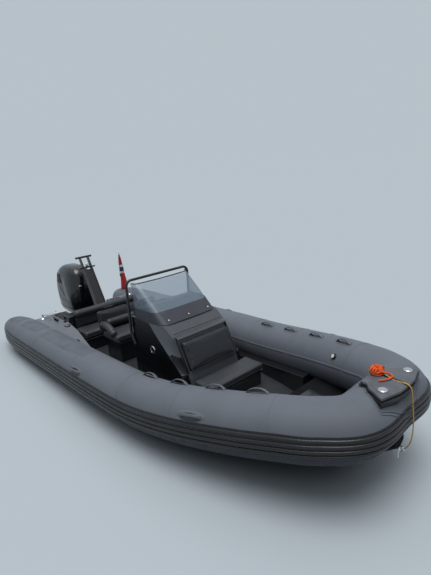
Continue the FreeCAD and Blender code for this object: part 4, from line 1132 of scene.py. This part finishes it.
def make_engine():
    make_cowl()
    soften({"leg": 0.008, "gearcase": 0.004, "swivel_bracket": 0.004, "clamp_bracket": 0.004,
            "propeller": 0.0015})
    finish_nodes("power_head", "tilt_ram")
    turned("clamp_bolts", "stainless", [(-2.399, y, z) for y in (-0.135, 0.135) for z in (-0.010, 0.180)],
           (1, 0, 0), [(0.013, -0.028), (0.013, -0.010), (0.009, -0.004), (0.009, 0.018)], 6)


# Mast, flag and fittings on the stern
def make_mast():
    softened_copy("tow_mast", 0.003)
    # Cover that closes the column between the two plates: aft and fore x at its foot and top
    ends = {0.572: (-1.956, -1.856), 1.060: (-2.184, -2.124)}
    cover = Mesh()
    cover.block(block_corners(ends.get, (-0.0545, 0.0545), ends))
    cover.build("mast_cover", "black_rail", bevel=0.003, slot=NODE_SLOT["tow_mast"])
    low, high = node_box("mast_light")
    foot = [((low.x + high.x) / 2.0, (low.y + high.y) / 2.0, low.z)]
    turned("mast_light_base", "black_fittings", foot, (0, 0, 1),
           [(0.024, 0.0), (0.024, 0.010), (0.019, 0.014), (0.019, 0.018)])
    piece = turned("mast_light_lens", "white_light", foot, (0, 0, 1),
                   [(0.0175, 0.016), (0.0215, 0.020), (0.0215, 0.040), (0.0175, 0.049), (0.008, 0.0545),
                    (0.001, 0.055)])
    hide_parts("mast_light")


FLAG_RED = (0.46, 0.012, 0.025)
FLAG_WHITE = (0.78, 0.78, 0.76)
FLAG_NAVY = (0.012, 0.022, 0.10)


def flag_material():
    """Red with a navy cross edged in white, across the cloth's own coordinates."""
    material, tree, shader = new_material("flag_cloth")
    cloth = add_node(tree, "Attribute", {}, attribute_name="cloth")
    parts = add_node(tree, "SeparateXYZ", {"Vector": cloth.outputs["Vector"]})

    def bar(output, middle, half):
        away = add_node(tree, "Math", {0: parts.outputs[output], 1: middle}, operation="SUBTRACT")
        size = add_node(tree, "Math", {0: away.outputs[0]}, operation="ABSOLUTE")
        return add_node(tree, "Math", {0: size.outputs[0], 1: half}, operation="LESS_THAN").outputs[0]
    colour = (*FLAG_RED, 1.0)
    # Half widths of the cross along the fly and along the hoist
    for over, half_u, half_v in ((FLAG_WHITE, 0.10, 0.125), (FLAG_NAVY, 0.05, 0.062)):
        cross = add_node(tree, "Math", {0: bar("X", 0.36, half_u), 1: bar("Y", 0.40, half_v)},
                         operation="MAXIMUM")
        blend = add_node(tree, "Mix", {}, data_type="RGBA")
        feed(tree, blend, {"Factor": cross.outputs[0], "A": colour, "B": (*over, 1.0)})
        colour = blend.outputs["Result"]
    feed(tree, shader, {"Roughness": 0.75, "Sheen Weight": 0.3, "Base Color": colour})
    return material


# The folds of the flag lengthen each turn round the staff by this much
FOLD_STRETCH = 1.23


def make_flag():
    """A flag gathered round its staff: one sheet in a loose roll, wider towards its foot."""
    softened_copy("flag_staff", 0.001)
    foot = Vector((-2.250, 0.640, 0.460))
    top = Vector((-2.330, 0.640, 1.175))
    axis = (top - foot).normalized()
    across = Vector((0, 1, 0))
    back = axis.cross(across)
    fly = 0.72
    # Share of the staff where the cloth starts, and the share that it covers
    start = 0.955
    covered = 0.76
    inner = 0.0105
    cloth = []
    rings = []
    for v in span(0.0, 1.0, 44):
        outer = 0.016 + 0.044 * v ** 0.8
        turns = fly / (math.pi * (inner + outer) * FOLD_STRETCH)
        ring = []
        for u in span(0.0, 1.0, 90):
            angle = 2.0 * math.pi * turns * u + 0.6 * math.sin(5.0 * v)
            radius = (inner + (outer - inner) * u) * (1.0 + 0.10 * math.sin(angle * 3.0 + 4.0 * v) * u)
            ring.append(foot + (top - foot) * (start - covered * v) - Vector((0.012 * v * u, 0, 0))
                        + (across * math.cos(angle) + back * math.sin(angle)) * radius - axis * 0.02 * u * v)
            cloth.append((u, v, 0.0))
        rings.append(ring)
    shape = Mesh()
    shape.rings(rings, closed=False, caps=False)
    mesh = bpy.data.meshes.new("flag_cloth")
    mesh.from_pydata([tuple(p) for p in shape.points], [], shape.faces)
    layer = mesh.attributes.new("cloth", "FLOAT_VECTOR", "POINT")
    for item, value in zip(layer.data, cloth):
        item.vector = value
    mesh.materials.append(flag_material())
    mesh.shade_smooth()
    piece = new_object("flag_cloth", mesh)
    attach(piece, "root")
    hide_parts("flag")


def make_fittings():
    soften({"stern_cleats": 0.003, "ladder_feet": 0.002, "stern_eyes": 0.0015, "bow_eye": 0.0015,
            "locker_hinge": 0.0015, "throttle": 0.006}, stern_cleats="black_fittings")
    finish_nodes("boarding_ladder", "screen_rail", "steering_wheel", "helm_boss")
    low, high = node_box("deck_fillers")
    reach = high.y - (high.x - low.x) / 2.0
    piece = turned("deck_filler_caps", "black_fittings",
                   [((low.x + high.x) / 2.0, y, low.z) for y in (-reach, reach)], (0, 0, 1),
                   [(0.042, 0.0), (0.042, 0.009), (0.037, 0.014), (0.026, 0.014), (0.024, 0.004),
                    (0.002, 0.004)], 36)
    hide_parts("deck_fillers")
    turned("stern_deck_sockets", "stainless", [(-2.30, y, 0.460) for y in (-0.725, 0.725)], (0, 0, 1),
           [(0.030, 0.0), (0.030, 0.006), (0.022, 0.016), (0.012, 0.022), (0.002, 0.024)], slot="stainless")


# Decks, hull and their non-slip panels
def pad_on(name, outlines, z, body="root"):
    """Panels 3 mm thick on a level face."""
    shape = Mesh()
    for outline in outlines:
        shape.rings([[Vector((x, y, level)) for x, y in outline] for level in (z, z + 0.003)])
    shape.build(name, "deck_grey", body, bevel=0.0012, slot="deck_grey")


def make_decks():
    soften({"hull": 0.008, "liner_port": 0.010, "liner_starboard": 0.010, "sole": 0.002,
            "stern_deck_port": 0.012, "stern_deck_starboard": 0.012, "transom": 0.008, "bench_box": 0.010,
            "helm_seat_box": 0.010, "front_seat_box": 0.004, "front_seat_lid": 0.004, "locker_lid": 0.004},
           liner_port="gloss_black", liner_starboard="gloss_black", locker_lid="gloss_black",
           stern_deck_port="deck_moulding", stern_deck_starboard="deck_moulding")
    # Half width at the aft and fore end of each panel on the sole
    sole = [[(x0, -y0), (x1, -y1), (x1, y1), (x0, y0)] for x0, x1, y0, y1 in
            ((0.98, 1.385, 0.45, 0.33), (-0.66, -0.36, 0.54, 0.54), (-1.345, -1.20, 0.53, 0.53))]
    pad_on("sole_pads", sole, 0.1652)
    pad_on("locker_lid_pad", [[(1.675, -0.235), (2.055, -0.235), (2.055, 0.235), (1.675, 0.235)]], 0.3985,
           "locker_lid")
    stern = [(-2.35, 0.37), (-1.96, 0.37), (-1.96, 0.545), (-2.35, 0.545)]
    pad_on("stern_deck_pads", [stern, [(x, -y) for x, y in reversed(stern)]], 0.4602)


def make_hull_strakes():
    """Two lifting strakes a side along the bottom."""
    # x, z of the keel, y and z of the chine
    rows = [(-2.38, -0.390, 0.820, -0.070), (-0.80, -0.370, 0.820, -0.040), (0.40, -0.320, 0.800, 0.030),
            (1.00, -0.260, 0.720, 0.090), (1.42, -0.190, 0.620, 0.135), (2.00, -0.050, 0.430, 0.240)]
    shape = Mesh()
    for share in (0.42, 0.72):
        rings = []
        for x, keel, chine_y, chine_z in rows:
            fade = 0.15 if x == rows[-1][0] else 1.0
            y = chine_y * share
            z = keel + (chine_z - keel) * share
            rise = (chine_z - keel) / chine_y
            wide = 0.045 * fade
            rings.append([Vector((x, y - wide, z - wide * rise + 0.002)), Vector((x, y, z - 0.016 * fade)),
                          Vector((x, y + 0.006, z + 0.006 * rise + 0.002))])
        shape.rings(rings)
    shape.mirror()
    shape.build("hull_lifting_strakes", "hull_black", bevel=0.002)


# Painter, from the bow eye over the bow tube to the knot on the pad
PAINTER = [
    (2.6393, 0.0, 0.4152), (2.663, 0.0, 0.445), (2.680, 0.0, 0.492), (2.688, 0.0, 0.548), (2.690, 0.0, 0.608),
    (2.688, 0.0, 0.668), (2.683, 0.0, 0.728), (2.675, 0.0, 0.786), (2.670, 0.0, 0.842), (2.663, 0.0, 0.892),
    (2.654, 0.0, 0.928), (2.628, 0.0, 0.947), (2.586, 0.0, 0.946), (2.545, 0.0, 0.941), (2.508, 0.0, 0.946),
    (2.483, 0.0, 0.9575), (2.462, 0.0, 0.9625),
]
PAINTER_DIAMETER = 0.009
PAINTER_PITCH = 0.030
# Loops of the knot: x, y and z of the middle, half length, half width, tilt in degrees, rise, phase
KNOT_LOOPS = [
    (2.392, 0.000, 0.963, 0.046, 0.052, 12.0, 0.003, 0.0),
    (2.396, -0.006, 0.977, 0.042, 0.046, -30.0, 0.006, 1.0),
    (2.390, 0.006, 0.991, 0.036, 0.042, 50.0, 0.005, 2.2),
    (2.398, 0.000, 1.000, 0.024, 0.030, 10.0, 0.004, 0.6),
]
# The knot's tail: an open loop on the pad beside it
KNOT_TAIL = [
    (2.425, -0.030, 0.990), (2.452, -0.010, 0.982), (2.474, 0.022, 0.970), (2.494, 0.030, 0.964),
    (2.512, 0.010, 0.9625), (2.514, -0.026, 0.9625), (2.502, -0.062, 0.9625), (2.484, -0.090, 0.9625),
    (2.468, -0.112, 0.9625),
]
KNOT_ROPE_RADIUS = 0.0078
KNOT_PITCH = 0.045


def nurbs_line(name, points, resolution=8):
    """Points that the smooth line through these control points runs along."""
    curve = bpy.data.curves.new(name, "CURVE")
    curve.dimensions = "3D"
    curve.resolution_u = resolution
    spline = curve.splines.new("NURBS")
    spline.points.add(len(points) - 1)
    for item, point in zip(spline.points, points):
        item.co = (*point, 1.0)
    spline.order_u = 3
    spline.use_endpoint_u = True
    holder = new_object(name, curve)
    bpy.context.view_layer.update()
    mesh = evaluated_mesh(holder)
    line = [v.co.copy() for v in mesh.vertices]
    bpy.data.objects.remove(holder)
    bpy.data.curves.remove(curve)
    bpy.data.meshes.remove(mesh)
    return line


def rope(shape, line, radius, pitch):
    """Three twisted strands that follow a line."""
    dense = []
    for a, b in zip(line, line[1:]):
        count = max(1, int((b - a).length / 0.0022))
        dense += [a + (b - a) * k / count for k in range(count)]
    dense.append(line[-1])
    for strand in range(3):
        travelled = 0.0
        points = []
        side = None
        for i, point in enumerate(dense):
            before = dense[max(i - 1, 0)]
            along = (dense[min(i + 1, len(dense) - 1)] - before).normalized()
            if side is None:
                side = along.orthogonal().normalized()
            side = (side - along * side.dot(along)).normalized()
            travelled += (point - before).length
            turn = 2.0 * math.pi * (travelled / pitch + strand / 3.0)
            away = side * math.cos(turn) + along.cross(side) * math.sin(turn)
            points.append(point + away * radius * 0.46)
        shape.sweep(points, radius * 0.54, 7)


def knot_loop(x, y, z, long, wide, tilt, lift, phase):
    """A slack loop of the knot, as a list of points whose last is its first."""
    turn = math.radians(tilt)
    points = []
    for k in range(28):
        a = 2.0 * math.pi * k / 28
        u = long * math.cos(a)
        v = wide * math.sin(a)
        points.append(Vector((x + u * math.cos(turn) - v * math.sin(turn),
                              y + u * math.sin(turn) + v * math.cos(turn),
                              z + lift * math.sin(a * 2.0 + phase))))
    return points + points[:1]


def make_painter():
    knot = Mesh()
    for row in KNOT_LOOPS:
        rope(knot, knot_loop(*row), KNOT_ROPE_RADIUS, KNOT_PITCH)
    # Riding turns across the bundle, pulled a little tighter, and the tail
    x = 2.394
    z = 0.983
    half = 0.054
    tight = KNOT_ROPE_RADIUS * 0.9
    for shift in (-0.020, 0.0, 0.020):
        ring = [Vector((x + shift + 0.006 * c, half * c, z + 0.024 * s)) for c, s in circle(24)]
        rope(knot, ring + ring[:1], tight, KNOT_PITCH)
    rope(knot, nurbs_line("knot_tail", KNOT_TAIL), tight, KNOT_PITCH)
    knot_piece = knot.build("painter_knot_turns", "rope_orange", sharp=60.0)
    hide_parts("painter_knot")
    line = nurbs_line("painter_route", PAINTER)
    shape = Mesh()
    rope(shape, line, PAINTER_DIAMETER / 2.0, PAINTER_PITCH)
    piece = shape.build("painter_rope", "rope_yellow", sharp=60.0)
    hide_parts("painter")


# The floor is pale to the camera and in reflections, and as dark as water to the light that it throws up
FLOOR_PALE = (0.47, 0.535, 0.585)
FLOOR_BOUNCE = (0.026, 0.031, 0.034)
FLOOR_HALF = 120.0
# The sky has the floor's tone near the horizon and is brighter overhead, between these two heights
SKY_OVERHEAD = (0.82, 0.826, 0.852)
SHORE = (0.065, 0.072, 0.080)
SKY_LOW = 0.48
SKY_HIGH = 0.78
SUN_POWER = 1.56
SUN_ANGLE = 40.0
SUN_FROM = (0.10, -0.16, 0.98)


def seen_mix(tree, thrown, shown):
    """One colour for what the camera, a reflection or a see-through piece shows, another for light."""
    ray = add_node(tree, "LightPath", {})
    seen = ray.outputs["Is Camera Ray"]
    for kind in ("Is Glossy Ray", "Is Transmission Ray"):
        seen = add_node(tree, "Math", {0: seen, 1: ray.outputs[kind]}, operation="MAXIMUM").outputs[0]
    mix = {"Factor": seen, "A": (*thrown, 1.0), "B": (*shown, 1.0)}
    return add_node(tree, "Mix", mix, data_type="RGBA").outputs["Result"]


def make_floor():
    mesh = bpy.data.meshes.new("floor")
    mesh.from_pydata([(x * FLOOR_HALF, y * FLOOR_HALF, 0) for x, y in ((-1, -1), (1, -1), (1, 1), (-1, 1))],
                     [], [[0, 1, 2, 3]])
    material, tree, shader = new_material("floor_pale")
    feed(tree, shader, {"Roughness": 1.0, "Specular IOR Level": 0.0,
                        "Base Color": seen_mix(tree, FLOOR_BOUNCE, FLOOR_PALE)})
    mesh.materials.append(material)
    new_object("floor", mesh)


def make_light():
    world = bpy.data.worlds.new("sky")
    world.use_nodes = True
    tree = world.node_tree
    parts = add_node(tree, "SeparateXYZ", {"Vector": add_node(tree, "TexCoord", {}).outputs["Generated"]})
    height = add_node(tree, "MapRange", {"Value": parts.outputs["Z"], "From Min": SKY_LOW,
                                         "From Max": SKY_HIGH}, interpolation_type="SMOOTHSTEP")
    mix = {"Factor": height.outputs["Result"], "A": seen_mix(tree, SHORE, FLOOR_PALE),
           "B": (*SKY_OVERHEAD, 1.0)}
    tone = add_node(tree, "Mix", mix, data_type="RGBA")
    feed(tree, tree.nodes["Background"], {"Color": tone.outputs["Result"]})
    bpy.context.scene.world = world
    lamp = bpy.data.lights.new("soft_sun", "SUN")
    lamp.energy = SUN_POWER
    lamp.angle = math.radians(SUN_ANGLE)
    lamp.color = (1.0, 0.98, 0.95)
    holder = new_object("soft_sun", lamp)
    holder.rotation_euler = Vector(SUN_FROM).to_track_quat("Z", "Y").to_euler()


def make_camera():
    heading = math.radians(HEADING)
    pitch = math.radians(PITCH)
    roll = math.radians(ROLL)
    forward = Vector((-math.sin(heading) * math.cos(pitch), math.cos(heading) * math.cos(pitch),
                      -math.sin(pitch)))
    level = Vector((math.cos(heading), math.sin(heading), 0.0))
    down = forward.cross(level)
    right = level * math.cos(roll) + down * math.sin(roll)
    down = down * math.cos(roll) - level * math.sin(roll)
    camera = bpy.data.cameras.new("camera")
    camera.sensor_width = SENSOR
    camera.lens = SENSOR * FOCAL_PIXELS / IMAGE_HEIGHT
    camera.clip_end = 200.0
    holder = new_object("camera", camera)
    turn = Matrix((right, -down, -forward)).transposed()
    holder.matrix_world = Matrix.Translation(CAMERA_AT) @ turn.to_4x4()
    bpy.context.scene.camera = holder


make_camera()
make_floor()
make_light()
make_painter()
make_tubes()
make_tube_details()
make_strakes()
make_handles()
make_valves()
make_bow_pad()
make_flange()
make_decks()
make_hull_strakes()
make_console()
make_screen()
make_dash()
make_flat_cushions()
make_bench_back()
make_helm_backrest()
make_console_backrest()
make_bolsters()
make_engine()
make_mast()
make_flag()
make_fittings()

bpy.context.scene.view_settings.view_transform = "Standard"
